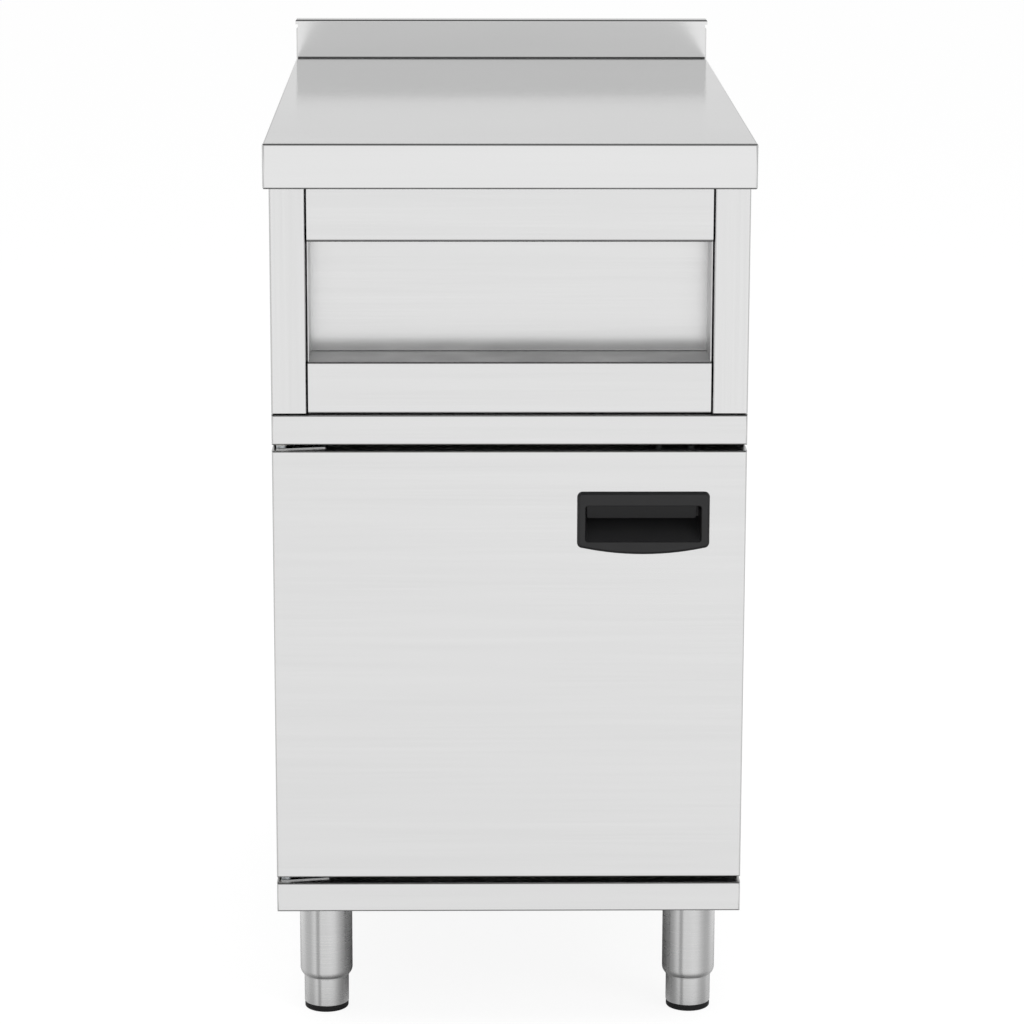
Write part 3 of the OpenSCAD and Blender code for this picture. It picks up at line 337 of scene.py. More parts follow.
def refinish(piece, finish, chosen):
    """Gives some faces of a piece a second material."""
    piece.data.materials.append(finish_of(finish))
    for face in piece.data.polygons:
        if chosen(face):
            face.material_index = 1


def round_off(mesh, angle):
    """Smooth shading with the creases over an angle left sharp."""
    shape = bmesh.new()
    shape.from_mesh(mesh)
    for face in shape.faces:
        face.smooth = True
    for edge in shape.edges:
        edge.smooth = len(edge.link_faces) == 2 and edge.calc_face_angle(0) < math.radians(angle)
    shape.to_mesh(mesh)
    shape.free()


def make_plain(piece):
    """Bakes the modifiers into the mesh."""
    bpy.context.view_layer.update()
    graph = bpy.context.evaluated_depsgraph_get()
    mesh = bpy.data.meshes.new_from_object(piece.evaluated_get(graph))
    piece.modifiers.clear()
    piece.data = mesh


def add_piece(name, mesh):
    piece = bpy.data.objects.new(name, mesh)
    bpy.context.scene.collection.objects.link(piece)
    return piece


def body_of(node):
    return frame["nodes"][node]["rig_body"]


def finished(name, mesh, crease, finish, node, bevel=0):
    """A piece from a mesh: creases over an angle in degrees stay sharp, and a bevel eases the edges."""
    round_off(mesh, crease)
    piece = add_piece(name, mesh)
    if bevel:
        edge = piece.modifiers.new("Eased edges", "BEVEL")
        edge.width = bevel
        edge.segments = 2
        edge.limit_method = "ANGLE"
        edge.angle_limit = math.radians(50)
    # Large faces keep their own direction, so that only the bends look rounded
    weighted = piece.modifiers.new("Weighted", "WEIGHTED_NORMAL")
    weighted.keep_sharp = True
    weighted.weight = 80
    make_plain(piece)
    return settle(piece, finish, node)


def dressed(node, name, finish, bevel=0):
    """A merged, smoothly shaded copy of one node of the frame."""
    mesh = frame["nodes"][node].data.copy()
    mesh.name = name
    shape = bmesh.new()
    shape.from_mesh(mesh)
    bmesh.ops.remove_doubles(shape, verts=shape.verts, dist=SAME_PLACE)
    bmesh.ops.dissolve_limit(shape, angle_limit=math.radians(0.4), verts=shape.verts, edges=shape.edges)
    shape.to_mesh(mesh)
    shape.free()
    if "custom_normal" in mesh.attributes:
        mesh.attributes.remove(mesh.attributes["custom_normal"])
    return finished(name, mesh, 30, finish, node, bevel)


def closed_mesh(shape):
    """Turns the faces of a new closed shape outwards and makes it a mesh."""
    bmesh.ops.recalc_face_normals(shape, faces=shape.faces)
    mesh = bpy.data.meshes.new("shape")
    shape.to_mesh(mesh)
    shape.free()
    return mesh


def skin_rings(rings):
    """A mesh between rings of the same number of points, capped at its ends."""
    shape = bmesh.new()
    rows = [[shape.verts.new(p) for p in ring] for ring in rings]
    count = len(rows[0])
    for low, high in zip(rows, rows[1:]):
        for k in range(count):
            shape.faces.new((low[k], low[(k + 1) % count], high[(k + 1) % count], high[k]))
    shape.faces.new(list(reversed(rows[0])))
    shape.faces.new(rows[-1])
    return closed_mesh(shape)


def turn_profile(profile, node, segments):
    """A closed profile of radius and height, turned and unwrapped round a node's upright axis."""
    low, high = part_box(node)
    x, y = (low.x + high.x) / 2, (low.y + high.y) / 2
    shape = bmesh.new()
    around = shape.loops.layers.uv.new("Round")
    # The map holds 100 mm of height to a unit, and a small step gives flat rings an area
    unit, step = 100 * MM, 0.01
    rows = []
    for radius, z in profile:
        if radius == 0:
            rows.append([shape.verts.new((x, y, z))])
        else:
            rows.append([shape.verts.new((x + radius * math.cos(a), y + radius * math.sin(a), z))
                         for a in (2 * math.pi * k / segments for k in range(segments))])
    for row, (near, far) in enumerate(zip(rows, rows[1:] + rows[:1])):
        if len(near) == 1 and len(far) == 1:
            continue
        for k in range(segments):
            ring = [near[k % len(near)], near[(k + 1) % len(near)],
                    far[(k + 1) % len(far)], far[k % len(far)]]
            spots = [(k, 0), (k + 1, 0), (k + 1, 1), (k, 1)]
            kept = [(v, s) for n, (v, s) in enumerate(zip(ring, spots)) if v not in ring[:n]]
            face = shape.faces.new([v for v, _ in kept])
            for loop, (_, (u, v)) in zip(face.loops, kept):
                loop[around].uv = (u / segments, loop.vert.co.z / unit + row * step * v)
    return closed_mesh(shape)


def arc(cx, cz, radius, start, stop, steps):
    """Points of an arc, from one angle to another in degrees."""
    return [(cx + radius * math.cos(math.radians(a)), cz + radius * math.sin(math.radians(a)))
            for a in (start + (stop - start) * k / steps for k in range(steps + 1))]


def loose_parts(node):
    """Lowest and highest corner of each separate solid in a node."""
    shape = bmesh.new()
    shape.from_mesh(frame["nodes"][node].data)
    bmesh.ops.remove_doubles(shape, verts=shape.verts, dist=SAME_PLACE)
    left, found = set(shape.verts), []
    while left:
        heap, group = [left.pop()], []
        while heap:
            vert = heap.pop()
            group.append(vert.co.copy())
            for edge in vert.link_edges:
                other = edge.other_vert(vert)
                if other in left:
                    left.remove(other)
                    heap.append(other)
        found.append((Vector([min(p[k] for p in group) for k in range(3)]),
                      Vector([max(p[k] for p in group) for k in range(3)])))
    shape.free()
    return sorted(found, key=lambda pair: tuple(round(c, 5) for c in pair[0]))


# Geometry nodes for the fasteners

# Upright prisms and frustums that each fastener is built of, with their numbers of sides
PARTS = {"bolt": {"Head": 6, "Crown": 6, "Washer": 40, "Shank": 24},
         "nut": {"Body": 6, "Lower chamfer": 6, "Upper chamfer": 6},
         "screw": {"Socket": 6, "Shank": 20},
         "rivet": {"Body": 20}}
# Their sizes: radius at each end, height, and how high over the seat they start
PART_SIZES = ("low radius", "top radius", "height", "start")


def domed(tree, get, rings):
    """A round head: a ball of radius 1 pressed to the head's radius and height."""
    ball = put(tree, "GeometryNodeMeshUVSphere", {"Segments": 32, "Rings": rings, "Radius": 1.0})
    size = put(tree, "ShaderNodeCombineXYZ", {
        0: get["Dome radius"], 1: get["Dome radius"], 2: get["Dome height"]})
    return put(tree, "GeometryNodeTransform", {"Geometry": ball, "Scale": size})


def dimpled(tree, get, dome):
    """Presses the dimple that a blind rivet's mandrel leaves into its head."""
    spot = put(tree, "ShaderNodeSeparateXYZ", {0: put(tree, "GeometryNodeInputPosition")}).outputs
    flat = put(tree, "ShaderNodeCombineXYZ", {0: spot[0], 1: spot[1]})
    away = put(tree, "ShaderNodeVectorMath", {0: flat}, operation="LENGTH").outputs["Value"]
    inside = put(tree, "ShaderNodeMath", {0: away, 1: get["Dimple radius"]}, operation="LESS_THAN")
    sunk = put(tree, "ShaderNodeMath", {0: spot[2], 1: get["Dimple height"]}, operation="MINIMUM")
    down = put(tree, "ShaderNodeCombineXYZ", {0: spot[0], 1: spot[1], 2: sunk})
    return put(tree, "GeometryNodeSetPosition", {
        "Geometry": dome, "Selection": inside, "Position": down})


def fastener_tree(kind, sizes):
    """Sets one bolt, nut, screw or rivet on every point, with a named input for each of its sizes."""
    tree = bpy.data.node_groups.new(kind, "GeometryNodeTree")
    inputs = [("Geometry", "Geometry")] + [(size, "Float") for size in sizes]
    for name, held in inputs + [("Turn", "Vector"), ("Material", "Material")]:
        socket = tree.interface.new_socket(name, in_out="INPUT", socket_type="NodeSocket" + held)
        if held == "Float":
            socket.subtype = "DISTANCE"
    tree.interface.new_socket("Geometry", in_out="OUTPUT", socket_type="NodeSocketGeometry")
    get = put(tree, "NodeGroupInput").outputs
    shapes = []
    for part, sides in PARTS[kind].items():
        low, top, height, start = (get[f"{part} {size}"] for size in PART_SIZES)
        cone = put(tree, "GeometryNodeMeshCone", {
            "Vertices": sides, "Radius Bottom": low, "Radius Top": top, "Depth": height})
        place = put(tree, "ShaderNodeCombineXYZ", {2: start})
        shapes.append(put(tree, "GeometryNodeTransform", {"Geometry": cone, "Translation": place}))
    if kind == "screw":
        # A low dome with a hexagon socket sunk in it
        smooth = put(tree, "GeometryNodeSetShadeSmooth", {"Geometry": domed(tree, get, 16)})
        shapes[0] = put(tree, "GeometryNodeMeshBoolean", {0: smooth, 1: shapes[0]},
                        operation="DIFFERENCE")
    elif kind == "rivet":
        pressed = dimpled(tree, get, domed(tree, get, 32))
        shapes.insert(0, put(tree, "GeometryNodeSetShadeSmooth", {"Geometry": pressed}))
    whole = put(tree, "GeometryNodeJoinGeometry", {0: shapes})
    copies = put(tree, "GeometryNodeInstanceOnPoints", {
        "Points": get["Geometry"], "Instance": whole, "Rotation": get["Turn"]})
    real = put(tree, "GeometryNodeRealizeInstances", {0: copies})
    painted = put(tree, "GeometryNodeSetMaterial", {"Geometry": real, "Material": get["Material"]})
    put(tree, "NodeGroupOutput", {0: painted})
    return tree


TREES = {}
TURNS = {"+Z": (0, 0, 0), "-Z": (math.pi, 0, 0), "+Y": (-math.pi / 2, 0, 0)}


def fasteners(node, name, kind, out, seat, parts, sizes=(), finish="zinc"):
    """Sets a fastener on the seat of each loose solid of a node, facing out along an axis.

    Each part gets its four sizes in the order of PART_SIZES. The rest of the tree's sizes go by name.
    """
    inputs = {f"{part} {size}": value for part, row in parts.items()
              for size, value in zip(PART_SIZES, row)}
    inputs.update(sizes)
    if kind not in TREES:
        TREES[kind] = fastener_tree(kind, list(inputs))
    inputs.update({"Turn": TURNS[out], "Material": finish_of(finish)})
    axis = "XYZ".index(out[1])
    spots = []
    for low, high in loose_parts(node):
        spot = (low + high) / 2
        spot[axis] = seat
        spots.append(spot)
    mesh = bpy.data.meshes.new(name)
    mesh.from_pydata(spots, [], [])
    piece = add_piece(name, mesh)
    modifier = piece.modifiers.new("Fasteners", "NODES")
    modifier.node_group = TREES[kind]
    for item in TREES[kind].interface.items_tree:
        if item.in_out == "INPUT" and item.name in inputs:
            modifier[item.identifier] = inputs[item.name]
    make_plain(piece)
    if not piece.data.polygons:
        raise RuntimeError(f"{name} came out empty")
    return settle(piece, finish, node)


# Operators, one for each group of pieces

class WORKMODULE_OT_worktop(bpy.types.Operator):
    """Worktop with its upstand, the upstand's end plates and the stiffeners below"""

    bl_idname = "work_module.worktop"
    bl_label = "Worktop"

    def execute(self, context):
        dressed("worktop", "worktop_sheet", "top")
        dressed("upstand_end_plates", "upstand_ends", "upright")
        dressed("worktop_stiffeners", "worktop_stiffening", "mill")
        return {"FINISHED"}


class WORKMODULE_OT_top_unit(bpy.types.Operator):
    """Sides, bent front panel, recess ends and back of the top unit"""

    bl_idname = "work_module.top_unit"
    bl_label = "Top unit"

    def execute(self, context):
        dressed("top_side_left", "top_side_sheet_left", "upright")
        dressed("top_side_right", "top_side_sheet_right", "upright")
        panel = dressed("front_panel", "front_panel_sheet", "across")
        ledge_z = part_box("recess_end_plates")[0].z
        refinish(panel, "dull",
                 lambda face: face.normal.z > 0.9 and abs(face.center.z - ledge_z) < 0.5 * MM)
        dressed("recess_end_plates", "recess_ends", "dull")
        dressed("top_back_panel", "top_back_sheet", "across")
        return {"FINISHED"}


class WORKMODULE_OT_base(bpy.types.Operator):
    """Rails, floor pan, sides and back of the base cabinet"""

    bl_idname = "work_module.base"
    bl_label = "Base cabinet"

    def execute(self, context):
        dressed("base_top_rail", "top_rail_sheet", "across")
        dressed("base_rear_rail", "rear_rail_sheet", "across")
        dressed("base_floor_pan", "floor_pan_sheet", "across")
        dressed("base_side_left", "base_side_sheet_left", "upright")
        dressed("base_side_right", "base_side_sheet_right", "upright")
        dressed("base_back_panel", "base_back_sheet", "across")
        dressed("joining_washers", "joining_washer_set", "zinc")
        dressed("leg_bearers", "leg_bearer_channels", "mill")
        dressed("leg_plates", "leg_plate_set", "mill", 0.3 * MM)
        return {"FINISHED"}


class WORKMODULE_OT_legs(bpy.types.Operator):
    """Leg sleeves turned from tube, with their threaded discs"""

    bl_idname = "work_module.legs"
    bl_label = "Leg sleeves"

    def execute(self, context):
        sizes = context.scene.module_legs
        for corner in CORNERS:
            node = "leg_sleeve_" + corner
            low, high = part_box(node)
            foot_low, foot_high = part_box("foot_tube_" + corner)
            outer, bore = (high.x - low.x) / 2, (foot_high.x - foot_low.x) / 2 + sizes.clearance
            lip, inner = bore + sizes.lip_wall, outer - sizes.wall
            # The lower end is drawn in along an arc, to a lip that runs on the foot tube
            curve_z = low.z + sizes.lip_h + sizes.swage
            fall = outer - lip
            curve_r = (sizes.swage ** 2 + fall ** 2) / (2 * fall)
            reach = math.degrees(math.asin(sizes.swage / curve_r))
            curve = arc(outer - curve_r, curve_z, curve_r, 0, -reach, 12)
            ease = 0.2 * MM
            profile = [(inner, high.z), (outer, high.z)] + curve + [
                (lip, low.z + ease), (lip - ease, low.z), (bore + ease, low.z), (bore, low.z + ease),
                (bore, low.z + sizes.lip_h + sizes.swage / 3), (inner, curve_z)]
            finished("sleeve_" + corner, turn_profile(profile, node, sizes.segments), 28, "tube", node)
        dressed("leg_discs", "threaded_discs", "zinc")
        return {"FINISHED"}


class WORKMODULE_OT_feet(bpy.types.Operator):
    """Adjustable feet: tube, threaded stem and rubber pad"""

    bl_idname = "work_module.feet"
    bl_label = "Feet"

    def execute(self, context):
        sizes = context.scene.module_legs
        for corner in CORNERS:
            node = "foot_tube_" + corner
            low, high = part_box(node)
            outer, ease, curl = (high.x - low.x) / 2, 0.3 * MM, 0.7 * MM
            inner = outer - sizes.wall
            profile = [(inner, high.z), (outer - ease, high.z), (outer, high.z - ease)]
            profile += arc(outer - curl, low.z + curl, curl, 0, -90, 5) + [(inner, low.z)]
            finished("foot_tube_sheet_" + corner, turn_profile(profile, node, sizes.segments), 28,
                     "tube", node)

            node = "foot_pad_" + corner
            low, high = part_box(node)
            # Sole with a rounded edge, straight wall, and a small chamfer on top
            edge, curl = (high.x - low.x) / 2, 1.6 * MM
            profile = [(0, low.z), (edge - 1.8 * MM, low.z)]
            profile += arc(edge - curl, low.z + curl, curl, -80, 0, 6)
            profile += [(edge, high.z - 0.9 * MM), (edge - 0.3 * MM, high.z - 0.2 * MM),
                        (edge - 0.9 * MM, high.z), (0, high.z)]
            finished("rubber_foot_" + corner, turn_profile(profile, node, sizes.segments), 40,
                     "rubber", node)
            dressed("foot_stem_" + corner, "threaded_stem_" + corner, "zinc")
        return {"FINISHED"}


class WORKMODULE_OT_door(bpy.types.Operator):
    """Folded door skins with the stiffener and reinforcements between them"""

    bl_idname = "work_module.door"
    bl_label = "Door"

    def execute(self, context):
        dressed("door_outer_skin", "door_outer_sheet", "across")
        dressed("door_inner_skin", "door_inner_sheet", "across")
        dressed("door_rib", "door_stiffener", "mill")
        dressed("door_reinforcements", "door_hinge_blocks", "zinc")
        return {"FINISHED"}


class WORKMODULE_OT_hinges(bpy.types.Operator):
    """Pivot plates, pins and bushes above and below the door"""

    bl_idname = "work_module.hinges"
    bl_label = "Hinges"

    def execute(self, context):
        for place in ("top", "bottom"):
            dressed("hinge_plate_" + place, "pivot_plate_" + place, "polished", 0.3 * MM)
            dressed("hinge_pin_" + place, "pivot_pin_" + place, "zinc", 0.3 * MM)
            dressed("hinge_bush_" + place, "pivot_bush_" + place, "acetal", 0.2 * MM)
        return {"FINISHED"}


class WORKMODULE_OT_catch(bpy.types.Operator):
    """Magnet catch over the door and its keeper plate"""

    bl_idname = "work_module.catch"
    bl_label = "Magnet catch"

    def execute(self, context):
        # The catch's angle takes the black zinc, whose dark colour is partly painted shade in the gap
        # over the door
        dressed("catch_bracket", "catch_angle", "black zinc with gap shade")
        dressed("catch_case", "catch_housing", "acetal", 0.3 * MM)
        dressed("catch_magnet", "catch_magnet_block", "ferrite", 0.2 * MM)
        dressed("keeper_plate", "catch_keeper", "zinc", 0.2 * MM)
        return {"FINISHED"}


def matched_outline(cx, top, side, half, corner, bow, inset, depth):
    """Outline of the bezel or pocket: rounded corners, and with a bow a lower edge that is an arc."""
    # Steps round a corner, along the lower edge and along each other side
    steps, along, between = 8, 14, 6
    if bow > 0:
        big = (half ** 2 + bow ** 2) / (2 * bow)
        big_z = side - bow + big
        small_x = half - corner
        small_z = big_z - math.sqrt((big - corner) ** 2 - small_x ** 2)
        tilt = math.degrees(math.atan2(small_z - big_z, small_x))
        low = arc(cx, big_z, big - inset, -180 - tilt, tilt, along)
    else:
        small_x, small_z, tilt = half - corner, side + corner, -90
        low = [(cx - small_x + 2 * small_x * k / along, side + inset) for k in range(along + 1)]
    radius = max(corner - inset, 0.05 * MM)
    turns = [arc(cx + small_x, small_z, radius, tilt, 0, steps),
             arc(cx + small_x, top - corner, radius, 0, 90, steps),
             arc(cx - small_x, top - corner, radius, 90, 180, steps),
             arc(cx - small_x, small_z, radius, 180, 180 - tilt, steps)]
    ring = []
    for k, turn in enumerate(turns):
        ring += turn
        if k < 3:
            start, stop = turn[-1], turns[k + 1][0]
            ring += [tuple(a + (b - a) * j / between for a, b in zip(start, stop))
                     for j in range(1, between)]
    ring += low[1:-1]
    return [(px, depth, pz) for px, pz in ring]


class WORKMODULE_OT_pull(bpy.types.Operator):
    """Black moulded pull: bowed bezel, finger pocket and sloping grip lip, with its clamp plate"""

    bl_idname = "work_module.pull"
    bl_label = "Moulded pull"

    def execute(self, context):
        size = context.scene.module_pull
        low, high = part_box("handle_housing")
        cx, half = (low.x + high.x) / 2, (high.x - low.x) / 2
        top, side = high.z, low.z + size.bow
        face, door, back = low.y, low.y + size.height, high.y
        pocket_top = top - size.pocket_drop
        pocket_low = pocket_top - size.pocket_h
        pocket_half = size.pocket_w / 2
        floor = back - size.wall

        def bezel(inset, depth):
            return matched_outline(cx, top, side, half, size.corner, size.bow, inset, depth)

        def pocket(grow, depth, lift=0.0):
            return matched_outline(cx, pocket_top + grow, pocket_low - grow + lift, pocket_half + grow,
                                   max(2.2 * MM + grow, 0.4 * MM), 0, 0, depth)

        rim, wall = size.rim, size.wall
        # Pocket's wall behind the door, underside of the bezel, its edge and its sloping rim
        rings = [pocket(wall - 0.5 * MM, back), pocket(wall, back - 0.5 * MM),
                 pocket(wall, door - 0.02 * MM), bezel(0.1 * MM, door - 0.02 * MM),
                 bezel(0, door - 0.12 * MM), bezel(0, door - 0.5 * MM),
                 bezel(0.15 * MM, door - 0.85 * MM), bezel(rim * 0.55, door - size.height * 0.68),
                 bezel(rim * 0.85, face + 0.28 * MM), bezel(rim, face + 0.1 * MM),
                 bezel(rim * 1.25, face)]
        # Rounded mouth of the pocket: how far it is wider than the pocket, and how far behind the face
        mouth = ((1.3, 0), (0.75, 0.12), (0.3, 0.4), (0.05, 0.85), (0, 1.4))
        rings += [pocket(wider * MM, face + behind * MM) for wider, behind in mouth]
        # The back slopes up from the lower edge, a little hollow, and rounds into the deepest part
        start, steps = face + 1.4 * MM, 14
        for k in range(1, steps + 1):
            share = k / steps
            lean = min(1, share * 1.4)
            rings.append(pocket(-size.draft * lean, start + (floor - start) * share,
                                size.rise * (0.75 * share + 0.25 * share ** 2) - size.draft * lean))
        finished("pull_housing", skin_rings(rings), 34, "moulding", "handle_housing")

        # Grip lip: a plate that slopes in from the pocket's upper edge, with a rolled lower edge
        left = cx - pocket_half + size.gap_left
        right = cx + pocket_half - size.gap_right
        low_z = pocket_top - size.grip_h
        start_y = face + 0.75 * MM
        end_y = start_y + size.grip_slope
        bead = wall / 2

        def section(x, cut, thin=0.0):
            lower = low_z + cut + thin
            share = (pocket_top - lower) / size.grip_h
            nose_y = start_y + (end_y - start_y) * share + bead
            points = [(start_y + thin + wall, pocket_top + 0.8 * MM),
                      (start_y + thin, pocket_top + 0.8 * MM), (start_y + thin, pocket_top - 0.2 * MM)]
            points += [(nose_y + (bead - thin) * math.cos(a), lower + bead + (bead - thin) * math.sin(a))
                       for a in (math.radians(195 + 170 * k / 8) for k in range(9))]
            points += [(start_y + thin + wall, pocket_top - 1.4 * MM)]
            return [(x, y, z) for y, z in points]

        # Rounded ends: millimetres from the end, cut off the lower edge, and thinned
        ends = [(0, 1.6, 0.5), (0.12, 0.9, 0.25), (0.4, 0.45, 0.1), (0.9, 0.12, 0), (1.6, 0, 0)]
        rings = [section(left + d * MM, c * MM, t * MM) for d, c, t in ends]
        rings += [section(left + (right - left) * k / 12, 0) for k in range(1, 12)]
        # The right end's radius is larger by this factor
        softer = 1.8
        rings += [section(right - d * softer * MM, c * softer * MM, t * MM)
                  for d, c, t in reversed(ends)]
        finished("pull_grip_lip", skin_rings(rings), 40, "moulding", "handle_housing")
        dressed("handle_clamp", "pull_clamp_plate", "zinc", 0.2 * MM)
        return {"FINISHED"}


class WORKMODULE_OT_fasteners(bpy.types.Operator):
    """Rivets, bolts, nuts and small screws"""

    bl_idname = "work_module.fasteners"
    bl_label = "Fasteners"

    def execute(self, context):
        size = context.scene.module_fasteners

        def facts(node, out, head):
            """Width and length of a node's first fastener, and where its seat is along its axis."""
            low, high = loose_parts(node)[0]
            axis = "XYZ".index(out[1])
            seat = high[axis] - head if out[0] == "+" else low[axis] + head
            return high.x - low.x, high[axis] - low[axis], seat

        # Blind rivets: a head twice as wide as the body, which tapers behind the sheet
        for node, name in (("top_back_rivets", "top_back_blind_rivets"),
                           ("base_back_rivets", "base_back_blind_rivets")):
            head = 1.2 * MM
            wide, long, seat = facts(node, "+Y", head)
            body, behind = wide / 4, long - head
            fasteners(node, name, "rivet", "+Y", seat,
                      {"Body": (body * 0.9, body, behind, -behind)},
                      {"Dome radius": wide / 2, "Dome height": head,
                       "Dimple radius": size.mandrel / 2, "Dimple height": head * 0.55})

        # M6 bolts: hexagon head with a chamfered crown, its washer, and a shank with a narrow end
        for node, name, out in (("joining_bolts", "joining_bolt_set", "+Z"),
                                ("leg_plate_bolts", "leg_bolt_set", "-Z")):
            head, shank = 4 * MM, 3 * MM
            wide, long, seat = facts(node, out, head)
            straight, corner, below = head - size.chamfer - size.washer_t, wide / 2, long - head
            washer = min(size.washer_w / 2, corner)
            fasteners(node, name, "bolt", out, seat, {
                "Head": (corner, corner, straight, size.washer_t),
                "Crown": (corner, corner * 0.84, size.chamfer, size.washer_t + straight),
                "Washer": (washer, washer * 0.985, size.washer_t, 0.0),
                "Shank": (shank * 0.88, shank, below, -below)})

        # Nuts with both edges chamfered, set on their lower face
        for node, name in (("joining_nuts", "joining_nut_set"), ("leg_plate_nuts", "leg_nut_set")):
            wide, long, seat = facts(node, "-Z", 0)
            corner, narrow, cut = wide / 2, wide / 2 * 0.86, size.chamfer
            fasteners(node, name, "nut", "+Z", seat, {
                "Body": (corner, corner, long - 2 * cut, cut),
                "Lower chamfer": (narrow, corner, cut, 0.0),
                "Upper chamfer": (corner, narrow, cut, long - cut)})

        # M4 and M3 button screws; a hexagon's corner is 0.577 of its width from its middle
        for node, name, out, thread, finish in (
                # The pivot screws take the black zinc, whose dark colour is partly painted shade in the
                # door's gaps
                ("hinge_screws_bottom", "pivot_screws_bottom", "+Z", 4 * MM, "black zinc with gap shade"),
                ("hinge_screws_top", "pivot_screws_top", "+Z", 4 * MM, "black zinc with gap shade"),
                ("catch_screws", "catch_screw_set", "-Z", 4 * MM, "zinc"),
                ("handle_screws", "pull_screw_set", "+Y", 3 * MM, "zinc")):
            head, shank, socket = 2 * MM, thread / 2, size.socket * 0.577
            wide, long, seat = facts(node, out, head)
            below = long - head
            fasteners(node, name, "screw", out, seat,
                      {"Socket": (socket, socket, head, head * 0.55),
                       "Shank": (shank * 0.85, shank, below, -below)},
                      {"Dome radius": wide / 2, "Dome height": head}, finish)
        return {"FINISHED"}


# Brightness that reflections see, by compass direction in degrees from the front, right positive
WALLS = ((-180, 0.97), (-140, 0.95), (-110, 0.75), (-95, 0.6), (-72, 0.6), (-58, 0.82), (-47, 0.9),
         (-41, 0.5), (-31, 0.5), (-25, 0.94), (0, 0.95), (20, 1), (40, 0.92), (55, 0.72), (75, 0.55),
         (95, 0.55), (110, 0.73), (140, 0.95), (180, 0.97))
# The same by height in degrees over the horizon
HEIGHTS = ((-90, 0.1), (-66, 0.15), (-46, 0.55), (-32, 0.84), (-22, 0.91), (-12, 1), (-2, 1),
           (5, 0.76), (12, 0.6), (20, 0.56), (90, 0.55))
# A factor on both
WHOLE_ROOM = 1.1


def by_angle(tree, angle, reach, stops):
    """Grey by an angle from -reach to reach degrees, from pairs of angle and level."""
    share = put(tree, "ShaderNodeMapRange", {
        0: angle, 1: -math.radians(reach), 2: math.radians(reach), 3: 0, 4: 1})
    ramp = put(tree, "ShaderNodeValToRGB", {0: share})
    marks = ramp.color_ramp.elements
    for k, (degrees, grey) in enumerate(stops):
        place = (degrees + reach) / (2 * reach)
        mark = marks[k] if k < 2 else marks.new(place)
        mark.position = place
        mark.color = (grey, grey, grey, 1)
    return ramp


def ray_kinds(tree):
    """Whether the camera looks straight at a place, and whether it is seen in metal or glass."""
    path = put(tree, "ShaderNodeLightPath").outputs
    mirrored = put(tree, "ShaderNodeMath", {
        0: path["Is Glossy Ray"], 1: path["Is Transmission Ray"]}, operation="MAXIMUM")
    return path["Is Camera Ray"], mirrored


def floor_material():
    """White card: near white with the object's shadow, and a painted shadow under the unit that only
    reflections see.
    """
    card, tree, where = blank_material("White floor card")
    direct, mirrored = ray_kinds(tree)
    # The camera sees a glow of 0.9 and on it a little card that takes the shadow
    soft = put(tree, "ShaderNodeBsdfDiffuse", {"Color": (0.15, 0.15, 0.15, 1)})
    glow = put(tree, "ShaderNodeEmission", {"Color": (1, 1, 1, 1), "Strength": 0.9})
    seen = put(tree, "ShaderNodeAddShader", {0: soft, 1: glow})
    white = put(tree, "ShaderNodeBsdfDiffuse", {"Color": (0.88, 0.88, 0.88, 1)})
    # Reflections see a painted shadow, a dark card under the unit, and past 0.46 m from its middle the
    # room
    away = put(tree, "ShaderNodeVectorMath", {0: where["Object"]}, operation="LENGTH").outputs["Value"]
    beyond = put(tree, "ShaderNodeMapRange", {0: away, 1: 0.2, 2: 0.46, 3: 0, 4: 1},
                 interpolation_type="SMOOTHSTEP")
    shadow = put(tree, "ShaderNodeBsdfDiffuse", {"Color": (0.14, 0.14, 0.14, 1)})
    clear = put(tree, "ShaderNodeBsdfTransparent")
    sweep = put(tree, "ShaderNodeMixShader", {0: beyond, 1: shadow, 2: clear})
    plain = put(tree, "ShaderNodeMixShader", {0: mirrored, 1: white, 2: sweep})
    either = put(tree, "ShaderNodeMixShader", {0: direct, 1: plain, 2: seen})
    # From below the floor is clear
    below = put(tree, "ShaderNodeNewGeometry").outputs["Backfacing"]
    both = put(tree, "ShaderNodeMixShader", {0: below, 1: either, 2: clear})
    put(tree, "ShaderNodeOutputMaterial", {"Surface": both})
    return card


